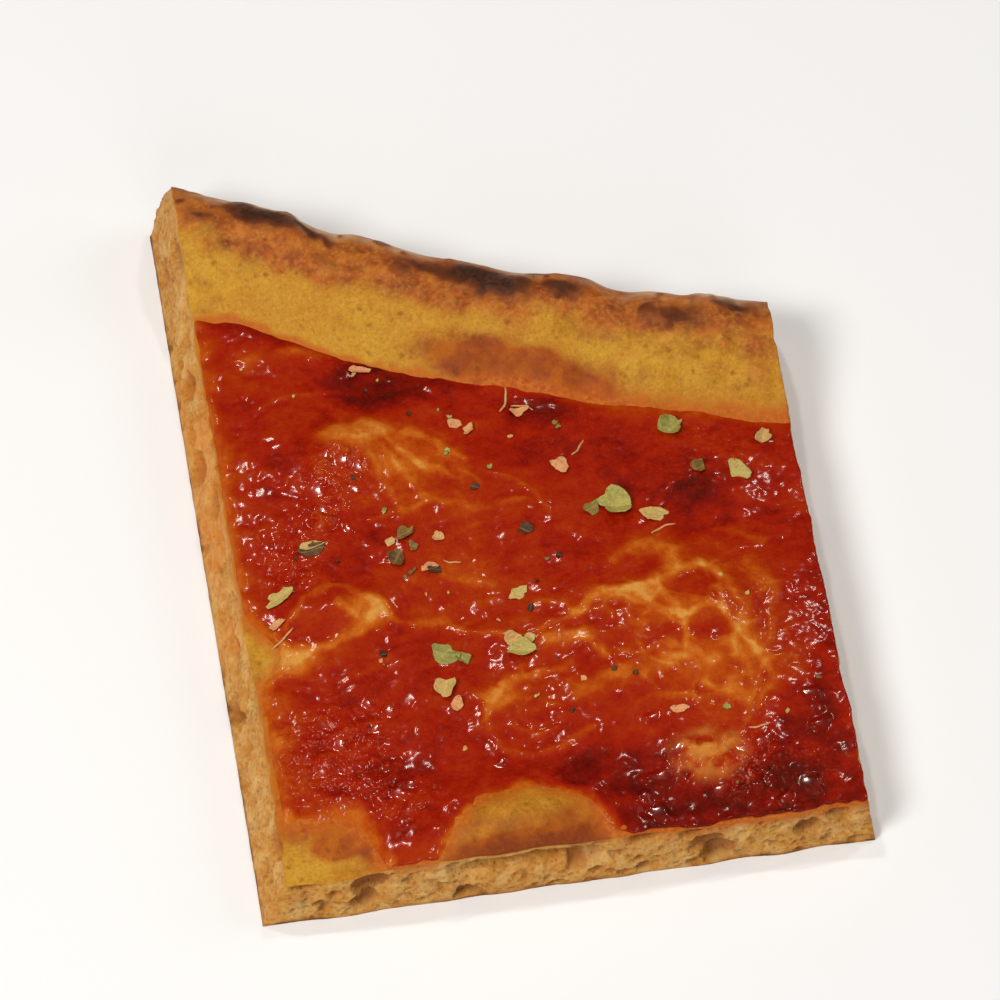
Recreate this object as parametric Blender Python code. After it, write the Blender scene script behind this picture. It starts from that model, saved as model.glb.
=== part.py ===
"""A square-cut slice of marinara pizza: a bread base with a raised rim, and its tomato sauce.

The rim runs along the back (+Y) and comes nearer to the front on the right.
The left, front and right sides are knife cuts through the bread and the sauce.
The slice lies flat on its underside, with its origin below the middle of its box.

Lengths are in millimetres, and MM turns them into Blender's metres when a mesh is written.
X and Y are counted from the middle of the front cut until the slice is centred.
"""

import math
import random
from collections import namedtuple

import bmesh
import bpy
from mathutils import Vector, noise

MM = 0.001

# Outline of the top, seen from above
FRONT_LEFT_X = -43.5
BACK_LEFT_X = -45.5
FRONT_RIGHT_X = 45.5
BACK_RIGHT_X = 46.5
FRONT_Y = 1.5
RIM_FOOT_LEFT_Y = 103.0
RIM_FOOT_SLOPE = -0.499
RIM_FOOT_CURVE = 0.00138
RIM_WIDTH_LEFT = 26.0
RIM_WIDTH_RIGHT = 23.0
LEFT_LENGTH = RIM_FOOT_LEFT_Y + RIM_WIDTH_LEFT

# Heights and thicknesses
BREAD_HEIGHT = 9.6
RIM_HEIGHT = 15.6
RIM_EDGE_HEIGHT = 6.0
RIM_CREST_INSET = 8.0
RIM_FOOT_INSET = 27.0
RIM_TOP_INSET = 1.2
SAUCE_GAP = 0.3
SAUCE_FILM = 0.95
SAUCE_EDGE = 0.55
SAUCE_TAPER = 4.0

# How far each side's foot stands outside its top edge, and the round of the rim's outer side
LEFT_SLANT = 4.0
FRONT_SLANT = 1.8
RIGHT_SLANT = 1.0
RIM_BULGE = 1.2
RIM_TUCK = 0.9
CRUMB_RELIEF = 0.5
CRUMB_SIZE = 3.1

# Bare dough beside the sauce
SAUCE_SETBACK = 0.8
LEFT_BARE_WIDTH = 1.3
CORNER_BARE_X = -27.0
CORNER_BARE_EASE = 4.0
CORNER_BARE_DEPTH = 9.5
PATCH_Y = 40.5
PATCH_REACH = 4.5
PATCH_WIDTH = 4.8

# A burst bubble at the front cut, with an open slit below its roof
BLISTER_X = -6.0
BLISTER_HALF_WIDTH = 13.5
BLISTER_DEPTH = 9.5
SLIT_DEPTH = 3.4
SLIT_LEVEL = 0.333
SLIT_HALF_HEIGHT = 0.14

# Mesh density
SAUCE_COLUMNS = 36
SAUCE_ROWS = 34
MARGIN_ROWS = 2
RIM_ROWS = 10
SIDE_ROWS = 6

Swell = namedtuple("Swell", "x y radius_x radius_y height")
Leaf = namedtuple("Leaf", "x y length width turn")

# Bubbles and hollows of the baked dough
DOUGH_SWELLS = (
    Swell(22.0, 37.0, 21.0, 14.0, 2.9),
    Swell(-4.0, 62.0, 22.0, 13.0, 1.1),
    Swell(-25.0, 74.0, 9.0, 6.0, 1.9),
    Swell(-31.0, 46.0, 10.0, 5.0, 1.2),
    Swell(-7.0, 6.0, 14.0, 6.5, 3.9),
    Swell(23.0, 14.0, 6.0, 3.5, 0.9),
    Swell(34.0, 62.0, 12.0, 8.0, 1.3),
    Swell(-20.0, 87.0, 14.0, 6.0, -1.0),
    Swell(30.0, 6.0, 15.0, 5.0, -1.2),
    Swell(-26.0, 25.0, 16.0, 11.0, -0.9),
    Swell(-39.0, 4.0, 9.0, 8.0, -1.2),
)

# Bubbles and dips along the crest of the rim
RIM_SWELLS = (
    Swell(-31.0, 115.0, 11.0, 8.0, 1.0),
    Swell(-8.0, 103.0, 8.0, 8.0, -0.9),
    Swell(13.0, 95.0, 10.0, 8.0, 1.3),
    Swell(37.0, 87.0, 7.0, 8.0, 0.7),
)

# Where the sauce lies thicker than its film
SAUCE_POOLS = (
    Swell(-24.0, 26.0, 15.0, 11.0, 0.95),
    Swell(-32.0, 64.0, 9.0, 10.0, 0.7),
    Swell(-22.0, 88.0, 16.0, 6.0, 0.6),
    Swell(28.0, 7.0, 15.0, 5.0, 0.7),
    Swell(14.0, 74.0, 16.0, 7.0, 0.5),
    Swell(4.0, 22.0, 9.0, 8.0, 0.5),
)
SWELL_FALLOFF = 1.2

# Oregano leaves on the sauce
OREGANO = (
    Leaf(-32.0, 57.0, 5.4, 2.0, 0.1),
    Leaf(-38.0, 50.0, 5.2, 2.4, 0.5),
    Leaf(-38.8, 44.6, 4.2, 1.3, 0.7),
    Leaf(-18.4, 54.4, 5.2, 3.6, 1.0),
    Leaf(-14.6, 58.6, 4.2, 2.8, 0.3),
    Leaf(-11.2, 55.2, 2.4, 1.6, -0.4),
    Leaf(-14.2, 50.9, 3.2, 1.6, 0.1),
    Leaf(1.6, 55.5, 3.0, 1.7, -0.6),
    Leaf(9.0, 66.0, 3.4, 2.2, -0.9),
    Leaf(15.2, 58.2, 7.4, 4.2, -0.1),
    Leaf(21.4, 54.5, 5.0, 2.4, 0.2),
    Leaf(-1.5, 44.6, 4.8, 2.6, 0.3),
    Leaf(-3.8, 36.0, 5.2, 4.2, 0.4),
    Leaf(-13.0, 35.6, 6.4, 4.2, -0.3),
    Leaf(-14.6, 30.6, 3.8, 3.2, 1.2),
    Leaf(-13.4, 27.0, 2.8, 2.0, -0.8),
    Leaf(-4.6, 76.4, 4.2, 2.8, -0.3),
    Leaf(3.0, 77.6, 5.2, 2.2, 0.9),
    Leaf(-19.0, 89.4, 3.4, 1.6, 0.0),
    Leaf(27.0, 70.0, 4.4, 2.8, 0.6),
    Leaf(36.0, 60.5, 5.2, 3.0, -0.5),
    Leaf(41.0, 66.0, 3.2, 2.2, 1.1),
    Leaf(30.0, 62.0, 3.0, 1.8, 0.2),
)
LEAF_SIDES = 6
LEAF_SUNK = 0.3
LEAF_EDGE_RISE = 0.3
LEAF_RISE = 0.42
LEAF_SEED = 7

BREAD_COLOUR = (0.66, 0.36, 0.10, 1.0)
BREAD_ROUGHNESS = 0.75
SAUCE_COLOUR = (0.34, 0.022, 0.005, 1.0)
SAUCE_ROUGHNESS = 0.35
SMOOTH_ANGLE = math.radians(40.0)


def smoothstep(low, high, value):
    """Ease from 0 at low to 1 at high."""
    t = min(max((value - low) / (high - low), 0.0), 1.0)
    return t * t * (3.0 - 2.0 * t)


def swell_sum(swells, x, y):
    """Add up the smooth mounds and hollows at a point."""
    total = 0.0
    for swell in swells:
        across = ((x - swell.x) / swell.radius_x) ** 2
        along = ((y - swell.y) / swell.radius_y) ** 2
        total += swell.height * math.exp(-SWELL_FALLOFF * (across + along))
    return total


def ripple(x, y, size, seed):
    """Soft unevenness between -1 and 1 with features of the given size."""
    return noise.noise(Vector((x / size, y / size, seed)))


def rim_foot(x):
    """Y of the smooth line along the foot of the rim."""
    run = x - BACK_LEFT_X
    return RIM_FOOT_LEFT_Y + RIM_FOOT_SLOPE * run + RIM_FOOT_CURVE * run * run


def sauce_back(x):
    """Y of the sauce's back edge, which wanders along the foot of the rim."""
    shoulder = 1.8 * math.exp(-((x + 36.0) / 9.0) ** 2)
    return rim_foot(x) + shoulder + 0.9 * ripple(x, 0.0, 9.0, 3.1)


def rim_outer(x):
    """Y of the rim's outermost line."""
    share = (x - BACK_LEFT_X) / (BACK_RIGHT_X - BACK_LEFT_X)
    width = RIM_WIDTH_LEFT + (RIM_WIDTH_RIGHT - RIM_WIDTH_LEFT) * share
    return rim_foot(x) + width + 0.7 * ripple(x, 50.0, 17.0, 8.4)


def front_edge(x):
    """Y of the front cut at the top."""
    return FRONT_Y + 0.35 * ripple(x, 0.0, 6.0, 5.5)


def sauce_front(x):
    """Y of the sauce's front edge, behind the bare corner and the bare blister."""
    past_corner = smoothstep(CORNER_BARE_X - CORNER_BARE_EASE, CORNER_BARE_X + CORNER_BARE_EASE, x)
    corner = CORNER_BARE_DEPTH * (1.0 - past_corner) * (1.0 + 0.12 * ripple(x, 9.0, 5.0, 1.7))
    across = min(abs(x - BLISTER_X) / BLISTER_HALF_WIDTH, 1.0)
    blister = BLISTER_DEPTH * math.sqrt(1.0 - across * across)
    return front_edge(x) + SAUCE_SETBACK + max(corner, blister)


def cut_x(y, front_x, back_x):
    """X of a cut side's top edge."""
    return front_x + (back_x - front_x) * y / LEFT_LENGTH


def left_bare(y):
    """Width of the bare dough along the left cut."""
    patch = PATCH_WIDTH * math.exp(-((y - PATCH_Y) / PATCH_REACH) ** 2)
    return LEFT_BARE_WIDTH + patch + 0.4 * ripple(0.0, y, 5.0, 2.2)


def bread_top(x, y):
    """Height of the baked dough's upper side."""
    floor = BREAD_HEIGHT + swell_sum(DOUGH_SWELLS, x, y)
    floor += 0.45 * ripple(x, y, 17.0, 0.3) + 0.25 * ripple(x, y, 7.0, 4.8)
    crest = RIM_HEIGHT + swell_sum(RIM_SWELLS, x, y) + 0.7 * ripple(x, 0.0, 13.0, 6.2)
    inset = rim_outer(x) - y
    if inset < RIM_CREST_INSET:
        out = 1.0 - max(inset, 0.0) / RIM_CREST_INSET
        return RIM_EDGE_HEIGHT + (crest - RIM_EDGE_HEIGHT) * math.sqrt(1.0 - out * out)
    return crest + (floor - crest) * smoothstep(RIM_CREST_INSET, RIM_FOOT_INSET, inset)


def sauce_depth(x, y):
    """Thickness of the sauce, thinner towards its edges."""
    deep = SAUCE_FILM + swell_sum(SAUCE_POOLS, x, y) + 0.12 * ripple(x, y, 6.0, 9.3)
    to_edge = min(sauce_back(x) - y, y - sauce_front(x), x - cut_x(y, FRONT_LEFT_X, BACK_LEFT_X))
    return SAUCE_EDGE + (deep - SAUCE_EDGE) * smoothstep(0.0, SAUCE_TAPER, to_edge)


def sauce_floor(x, y):
    """Height of the sauce's underside."""
    return bread_top(x, y) + SAUCE_GAP


def sauce_top(x, y):
    """Height of the sauce's upper side."""
    return sauce_floor(x, y) + sauce_depth(x, y)


def row_y(x, band, share):
    """Y of a grid row: a share of the way through its band, from front to back."""
    bands = {
        "front": (front_edge(x), sauce_front(x)),
        "sauce": (sauce_front(x), sauce_back(x)),
        "rim": (sauce_back(x), rim_outer(x) - RIM_TOP_INSET),
    }
    start, end = bands[band]
    return start + (end - start) * share


def row_points(band, share):
    """Plan points of one grid row: the left cut, the sauce's columns and the right cut."""
    points = []
    for column in range(-1, SAUCE_COLUMNS + 2):
        across = min(max(column / SAUCE_COLUMNS, 0.0), 1.0)
        y = row_y(FRONT_LEFT_X + (FRONT_RIGHT_X - FRONT_LEFT_X) * across, band, share)
        left = cut_x(y, FRONT_LEFT_X, BACK_LEFT_X)
        right = cut_x(y, FRONT_RIGHT_X, BACK_RIGHT_X)
        sauce_left = left + left_bare(y)
        x = sauce_left + (right - SAUCE_SETBACK - sauce_left) * across
        if column < 0:
            x = left
        elif column > SAUCE_COLUMNS:
            x = right
        points.append((x, y))
    return points


def top_grid():
    """Plan points of the bread's top, row by row from the front."""
    rows = [("front", step / MARGIN_ROWS) for step in range(MARGIN_ROWS)]
    rows += [("sauce", step / SAUCE_ROWS) for step in range(SAUCE_ROWS + 1)]
    rows += [("rim", step / RIM_ROWS) for step in range(1, RIM_ROWS + 1)]
    return [row_points(band, share) for band, share in rows]


def sauce_grid(grid):
    """The rows and columns of the bread's grid that the sauce covers."""
    covered = grid[MARGIN_ROWS:MARGIN_ROWS + SAUCE_ROWS + 1]
    return [points[1:-1] for points in covered]


def add_band(bm, lower, upper, flip=False):
    """Join two rows of vertices with pairs of triangles, their diagonals all alike."""
    for i in range(len(lower) - 1):
        first = (lower[i], lower[i + 1], upper[i + 1])
        second = (lower[i], upper[i + 1], upper[i])
        for corners in (first, second):
            bm.faces.new(corners[::-1] if flip else corners)


def add_sheet(bm, grid, height, flip=False):
    """A triangulated sheet over the grid, at the height that the function gives."""
    rows = [[bm.verts.new((x, y, height(x, y))) for x, y in points] for points in grid]
    for lower, upper in zip(rows[:-1], rows[1:]):
        add_band(bm, lower, upper, flip)
    return rows


def sheet_border(rows):
    """Once round the sheet: each border vertex with the names of the sides it stands on."""
    last_row = len(rows) - 1
    last_column = len(rows[0]) - 1
    path = [(0, column) for column in range(last_column)]
    path += [(row, last_column) for row in range(last_row)]
    path += [(last_row, column) for column in range(last_column, 0, -1)]
    path += [(row, 0) for row in range(last_row, 0, -1)]
    border = []
    for row, column in path:
        places = {
            "front": row == 0,
            "right": column == last_column,
            "back": row == last_row,
            "left": column == 0,
        }
        border.append((rows[row][column], [side for side, here in places.items() if here]))
    return border


def side_stand(side, x, y, share):
    """How far a side stands outside its top edge, at a share of the way down."""
    if side == "back":
        bulge = RIM_BULGE * math.sin(math.pi * min(share / 0.9, 1.0))
        return bulge - RIM_TUCK * smoothstep(0.6, 1.0, share)
    slant = {"left": LEFT_SLANT, "front": FRONT_SLANT, "right": RIGHT_SLANT}[side]
    crumb = noise.noise(Vector((x / CRUMB_SIZE, y / CRUMB_SIZE, CRUMB_SIZE * share)))
    stand = slant * share + CRUMB_RELIEF * crumb * math.sin(math.pi * share)
    if side == "front":
        opening = max(0.0, 1.0 - ((x - BLISTER_X) / BLISTER_HALF_WIDTH) ** 2)
        stand -= SLIT_DEPTH * opening * math.exp(-((share - SLIT_LEVEL) / SLIT_HALF_HEIGHT) ** 2)
    return stand


def add_sides(bm, border):
    """Rows of side faces from the top's border down to the ring round the underside."""
    outward = {
        "front": Vector((0.0, -1.0, 0.0)),
        "right": Vector((1.0, 0.0, 0.0)),
        "back": Vector((0.0, 1.0, 0.0)),
        "left": Vector((-1.0, 0.0, 0.0)),
    }
    above = [vert for vert, sides in border]
    for row in range(1, SIDE_ROWS + 1):
        share = row / SIDE_ROWS
        ring = []
        for vert, sides in border:
            point = Vector((vert.co.x, vert.co.y, vert.co.z * (1.0 - share)))
            for side in sides:
                point += outward[side] * side_stand(side, vert.co.x, vert.co.y, share)
            ring.append(bm.verts.new(point))
        add_band(bm, ring + ring[:1], above + above[:1])
        above = ring
    return above


def fill_underside(bm, ring):
    """Close the flat underside with a fan of triangles round its middle."""
    middle = sum((vert.co for vert in ring), Vector()) / len(ring)
    centre = bm.verts.new((middle.x, middle.y, 0.0))
    for first, second in zip(ring, ring[1:] + ring[:1]):
        bm.faces.new((second, first, centre))


def bread_mesh(grid):
    """The bread as one closed body: relief on top, cut or rounded sides, flat underside."""
    bm = bmesh.new()
    rows = add_sheet(bm, grid, bread_top)
    foot = add_sides(bm, sheet_border(rows))
    fill_underside(bm, foot)
    return bm


def sauce_mesh(grid):
    """The sauce as a thin closed skin that follows the bread's relief."""
    bm = bmesh.new()
    lower = [vert for vert, sides in sheet_border(add_sheet(bm, grid, sauce_floor, flip=True))]
    upper = [vert for vert, sides in sheet_border(add_sheet(bm, grid, sauce_top))]
    add_band(bm, lower + lower[:1], upper + upper[:1])
    return bm


def leaf_ring(bm, leaf, radii, scale, lift):
    """The leaf's outline, draped over the sauce and lifted off it."""
    ring = []
    for side, radius in enumerate(radii):
        angle = math.tau * side / len(radii)
        along = 0.5 * leaf.length * radius * scale * math.cos(angle)
        across = 0.5 * leaf.width * radius * scale * math.sin(angle)
        x = leaf.x + along * math.cos(leaf.turn) - across * math.sin(leaf.turn)
        y = leaf.y + along * math.sin(leaf.turn) + across * math.cos(leaf.turn)
        ring.append(bm.verts.new((x, y, sauce_top(x, y) + lift)))
    return ring


def leaf_mesh(leaf, draw):
    """One dried leaf: a thin, slightly domed oval sunk a little into the sauce."""
    bm = bmesh.new()
    radii = [draw.uniform(0.82, 1.1) for _ in range(LEAF_SIDES)]
    lower = leaf_ring(bm, leaf, radii, 0.9, -LEAF_SUNK)
    upper = leaf_ring(bm, leaf, radii, 1.0, LEAF_EDGE_RISE)
    surface = sauce_top(leaf.x, leaf.y)
    bottom = bm.verts.new((leaf.x, leaf.y, surface - LEAF_SUNK))
    top = bm.verts.new((leaf.x, leaf.y, surface + LEAF_RISE))
    for i in range(LEAF_SIDES):
        after = (i + 1) % LEAF_SIDES
        bm.faces.new((upper[i], upper[after], top))
        bm.faces.new((lower[after], lower[i], bottom))
    add_band(bm, lower + lower[:1], upper + upper[:1])
    return bm


def plan_centre(bm):
    """Middle of the mesh's box in plan, at the floor."""
    xs = [vert.co.x for vert in bm.verts]
    ys = [vert.co.y for vert in bm.verts]
    return Vector(((min(xs) + max(xs)) / 2.0, (min(ys) + max(ys)) / 2.0, 0.0))


def make_material(name, colour, roughness):
    """A Principled material of one colour."""
    material = bpy.data.materials.new(name)
    material.use_nodes = True
    shader = material.node_tree.nodes["Principled BSDF"]
    shader.inputs["Base Color"].default_value = colour
    shader.inputs["Roughness"].default_value = roughness
    shader.inputs["Metallic"].default_value = 0.0
    return material


def make_object(name, bm, material, centre, collection):
    """Turn a mesh in millimetres into a smooth-shaded object in metres about the centre."""
    for vert in bm.verts:
        vert.co = (vert.co - centre) * MM
    bm.normal_update()
    mesh = bpy.data.meshes.new(name)
    bm.to_mesh(mesh)
    bm.free()
    mesh.materials.append(material)
    mesh.shade_smooth()
    mesh.set_sharp_from_angle(angle=SMOOTH_ANGLE)
    obj = bpy.data.objects.new(name, mesh)
    collection.objects.link(obj)
    return obj


def fuse_leaves(sauce, material, centre):
    """Join every leaf to the sauce with one Boolean union, then remove the loose leaves."""
    draw = random.Random(LEAF_SEED)
    leaves = bpy.data.collections.new("oregano")
    bpy.context.scene.collection.children.link(leaves)
    for number, leaf in enumerate(OREGANO):
        make_object(f"leaf_{number}", leaf_mesh(leaf, draw), material, centre, leaves)
    union = sauce.modifiers.new("oregano", "BOOLEAN")
    union.operation = "UNION"
    union.operand_type = "COLLECTION"
    union.collection = leaves
    union.solver = "EXACT"
    bpy.context.view_layer.objects.active = sauce
    bpy.ops.object.modifier_apply(modifier=union.name)
    for obj in list(leaves.objects):
        bpy.data.objects.remove(obj)
    bpy.data.collections.remove(leaves)


def main():
    """Build the slice."""
    for obj in list(bpy.data.objects):
        bpy.data.objects.remove(obj)
    stage = bpy.context.scene.collection
    grid = top_grid()
    bread = bread_mesh(grid)
    centre = plan_centre(bread)
    dough = make_material("baked_dough", BREAD_COLOUR, BREAD_ROUGHNESS)
    tomato = make_material("tomato_sauce", SAUCE_COLOUR, SAUCE_ROUGHNESS)
    make_object("bread", bread, dough, centre, stage)
    sauce = make_object("tomato_sauce", sauce_mesh(sauce_grid(grid)), tomato, centre, stage)
    fuse_leaves(sauce, tomato, centre)


main()
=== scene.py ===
"""Looks of a marinara pizza slice: baked bread with a cut crumb, wet tomato sauce, oregano.

Lengths are in millimetres about the middle of the front cut, as in the part's source.
They become metres about the slice's centre when a mesh is made.
"""

import math
from collections import namedtuple
from itertools import product

import bpy
import numpy as np
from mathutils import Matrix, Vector, noise


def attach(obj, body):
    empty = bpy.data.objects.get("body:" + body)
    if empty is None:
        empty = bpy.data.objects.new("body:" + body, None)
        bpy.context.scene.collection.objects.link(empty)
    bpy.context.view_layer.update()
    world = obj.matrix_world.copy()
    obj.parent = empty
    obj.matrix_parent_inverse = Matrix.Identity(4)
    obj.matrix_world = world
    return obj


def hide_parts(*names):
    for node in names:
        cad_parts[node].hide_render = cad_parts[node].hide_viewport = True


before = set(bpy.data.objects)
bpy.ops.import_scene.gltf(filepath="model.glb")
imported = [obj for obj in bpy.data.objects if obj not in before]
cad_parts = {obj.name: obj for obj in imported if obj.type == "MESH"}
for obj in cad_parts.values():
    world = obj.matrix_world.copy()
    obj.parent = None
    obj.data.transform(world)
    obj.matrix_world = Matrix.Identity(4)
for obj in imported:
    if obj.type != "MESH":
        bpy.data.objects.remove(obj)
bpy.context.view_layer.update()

MM = 0.001

# Outline and heights, as the solids have them, but for the rim's dents and the sauce's edge on bare dough
FRONT_LEFT_X, BACK_LEFT_X = -43.5, -45.5
FRONT_RIGHT_X, BACK_RIGHT_X = 45.5, 46.5
FRONT_Y = 1.5
RIM_FOOT_LEFT_Y = 103.0
RIM_FOOT_SLOPE = -0.499
RIM_FOOT_CURVE = 0.00138
RIM_WIDTH_LEFT, RIM_WIDTH_RIGHT = 26.0, 23.0
LEFT_LENGTH = RIM_FOOT_LEFT_Y + RIM_WIDTH_LEFT
BREAD_HEIGHT = 9.6
RIM_HEIGHT = 15.6
RIM_EDGE_HEIGHT = 6.0
RIM_CREST_INSET = 8.0
RIM_FOOT_INSET = 27.0
RIM_TOP_INSET = 1.2
SAUCE_THIN = 0.55
LEFT_SLANT, FRONT_SLANT, RIGHT_SLANT = 4.0, 1.8, 1.0
RIM_BULGE, RIM_TUCK = 1.2, 0.9
CRUMB_RELIEF, CRUMB_SIZE = 0.5, 3.1
SAUCE_SETBACK = 0.8
LEFT_BARE_WIDTH, LEFT_BARE_WIDENING = 0.7, 0.9
LEFT_WIDENING_Y = (36.0, 28.0)
SHOULDER_X, SHOULDER_REACH, SHOULDER_DEPTH = -36.0, 9.0, 1.8
CORNER_BARE_X, CORNER_BARE_EASE, CORNER_BARE_DEPTH = -30.0, 2.4, 9.5
PATCH_Y, PATCH_REACH, PATCH_WIDTH = 40.5, 4.5, 4.8
BLISTER_X, BLISTER_HALF_WIDTH, BLISTER_DEPTH = -6.4, 12.8, 9.0
SLIT_DEPTH, SLIT_LEVEL, SLIT_HALF_HEIGHT = 3.4, 0.333, 0.14
RIM_DENT = 1.3
RIM_DENT_LEFT_X = (BACK_LEFT_X + 4.0, BACK_LEFT_X + 14.0)
RIM_DENT_RIGHT_X = (BACK_RIGHT_X - 2.0, BACK_RIGHT_X - 10.0)
SWELL_FALLOFF = 1.2

Swell = namedtuple("Swell", "x y radius_x radius_y height")
Leaf = namedtuple("Leaf", "x y length width turn tone")
Patch = namedtuple("Patch", "x y radius_x radius_y turn amount")
Vein = namedtuple("Vein", "width amount points")
Scorch = namedtuple("Scorch", "x inset radius_x radius_inset amount")
Facet = namedtuple("Facet", "x y radius lean")
Stem = namedtuple("Stem", "x y length turn bend thickness tone")


def table(kind, *rows):
    """Rows of numbers as records, so that each column has a name."""
    return [kind(*row) for row in rows]


DOUGH_SWELLS = table(
    Swell,
    (22, 37, 21, 14, 2.9), (-4, 62, 22, 13, 1.1), (-25, 74, 9, 6, 1.9), (-31, 46, 10, 5, 1.2),
    (-7, 6, 14, 6.5, 3.9), (23, 14, 6, 3.5, 0.9), (34, 62, 12, 8, 1.3), (-20, 87, 14, 6, -1),
    (30, 6, 15, 5, -1.2), (-26, 25, 16, 11, -0.9), (-39, 4, 9, 8, -1.2),
)
RIM_SWELLS = table(
    Swell,
    (-31, 115, 11, 8, 1), (-8, 103, 8, 8, -0.9), (13, 95, 10, 8, 1.3), (37, 87, 7, 8, 0.7),
    (-20, 109, 6, 8, -0.8), (25, 91, 7, 8, -1),
)
SAUCE_POOLS = table(
    Swell,
    (-24, 26, 15, 11, 0.95), (-32, 64, 9, 10, 0.7), (-22, 88, 16, 6, 0.6), (28, 7, 15, 5, 0.7),
    (14, 74, 16, 7, 0.5), (4, 22, 9, 8, 0.5),
)

# How thin and orange the sauce is: above 0 shows more dough, below 0 is deeper red
FILM_BASE = 0.38
FILM_PATCHES = table(
    Patch,
    (-22, 77, 7, 2.6, 0.03, 0.5), (-16, 72, 8, 5, -0.4, 0.17), (-13, 66, 12, 7, -0.3, 0.1),
    (-2, 52, 18, 13, 0, 0.08), (-24.2, 44.6, 3.4, 2.8, -0.3, 0.4), (-38.5, 39, 7.5, 3.4, 0.1, 0.44),
    (-40, 26, 4.5, 12, 0, 0.12), (-42, 62, 4, 20, 0, 0.1), (16.2, 40.8, 5, 1.8, -0.08, 0.3),
    (24, 36, 17, 14, 0, 0.15), (20.5, 49.3, 6.5, 3, -0.2, 0.08), (30, 20, 6, 4.4, 0, 0.05),
    (34.5, 30, 5.5, 7, 0, 0.04), (43.5, 24, 4.5, 20, 0, -0.1), (28, 25.5, 9, 5, 0, 0.07),
    (-7.5, 27.6, 3.6, 3, 0.4, 0.24), (10, 27.8, 8.5, 2.4, 0.1, 0.14),
    (23.5, 13.2, 5.4, 3.8, 0.05, 0.34), (5, 35.4, 5, 1.9, 0, 0.22), (18, 46.2, 3.9, 2.5, -0.1, -0.15),
    (25.5, 41, 5, 2.3, -0.3, -0.16), (27, 33, 3.4, 1.8, 0, -0.12), (12, 37.6, 4.6, 2, -0.3, -0.14),
    (19.6, 33.4, 4, 2, 0, -0.12), (-2.5, 23.5, 6, 4.5, 0, 0.08), (8, 50, 6, 3, 0.2, -0.08),
    (-14, 46.5, 4.5, 2.6, 0.2, -0.12), (-25, 56, 7, 4, 0.4, -0.08), (-36, 98, 7, 3, -0.2, -0.1),
    (-34, 90, 9, 4, 0.1, 0.08), (-33, 82, 6, 5, 0.3, 0.06), (-19, 85.6, 7.5, 5, -0.28, -0.34),
    (-6, 82, 9, 3.6, -0.5, -0.13), (6, 78, 8, 4, -0.4, -0.18), (10, 12, 11, 5, 0, -0.26),
    (24, 4, 21, 7.5, 0, -0.27), (36, 11, 9, 7, 0, -0.22), (39, 19, 5.5, 5.5, 0, -0.14),
    (28, 55, 7, 7, 0, -0.14), (-26, 17, 8, 4, 0, -0.15), (-24, 1.5, 4.5, 5.5, 0, 0.06),
    (-24, 10, 5.5, 4, 0, -0.06), (-26, 28, 16, 9, 0, -0.04), (-35, 62, 9, 9, 0, -0.05),
    (38, 34, 4.5, 6, 0, -0.1), (18, 66, 20, 8, -0.45, -0.09),
)

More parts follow.
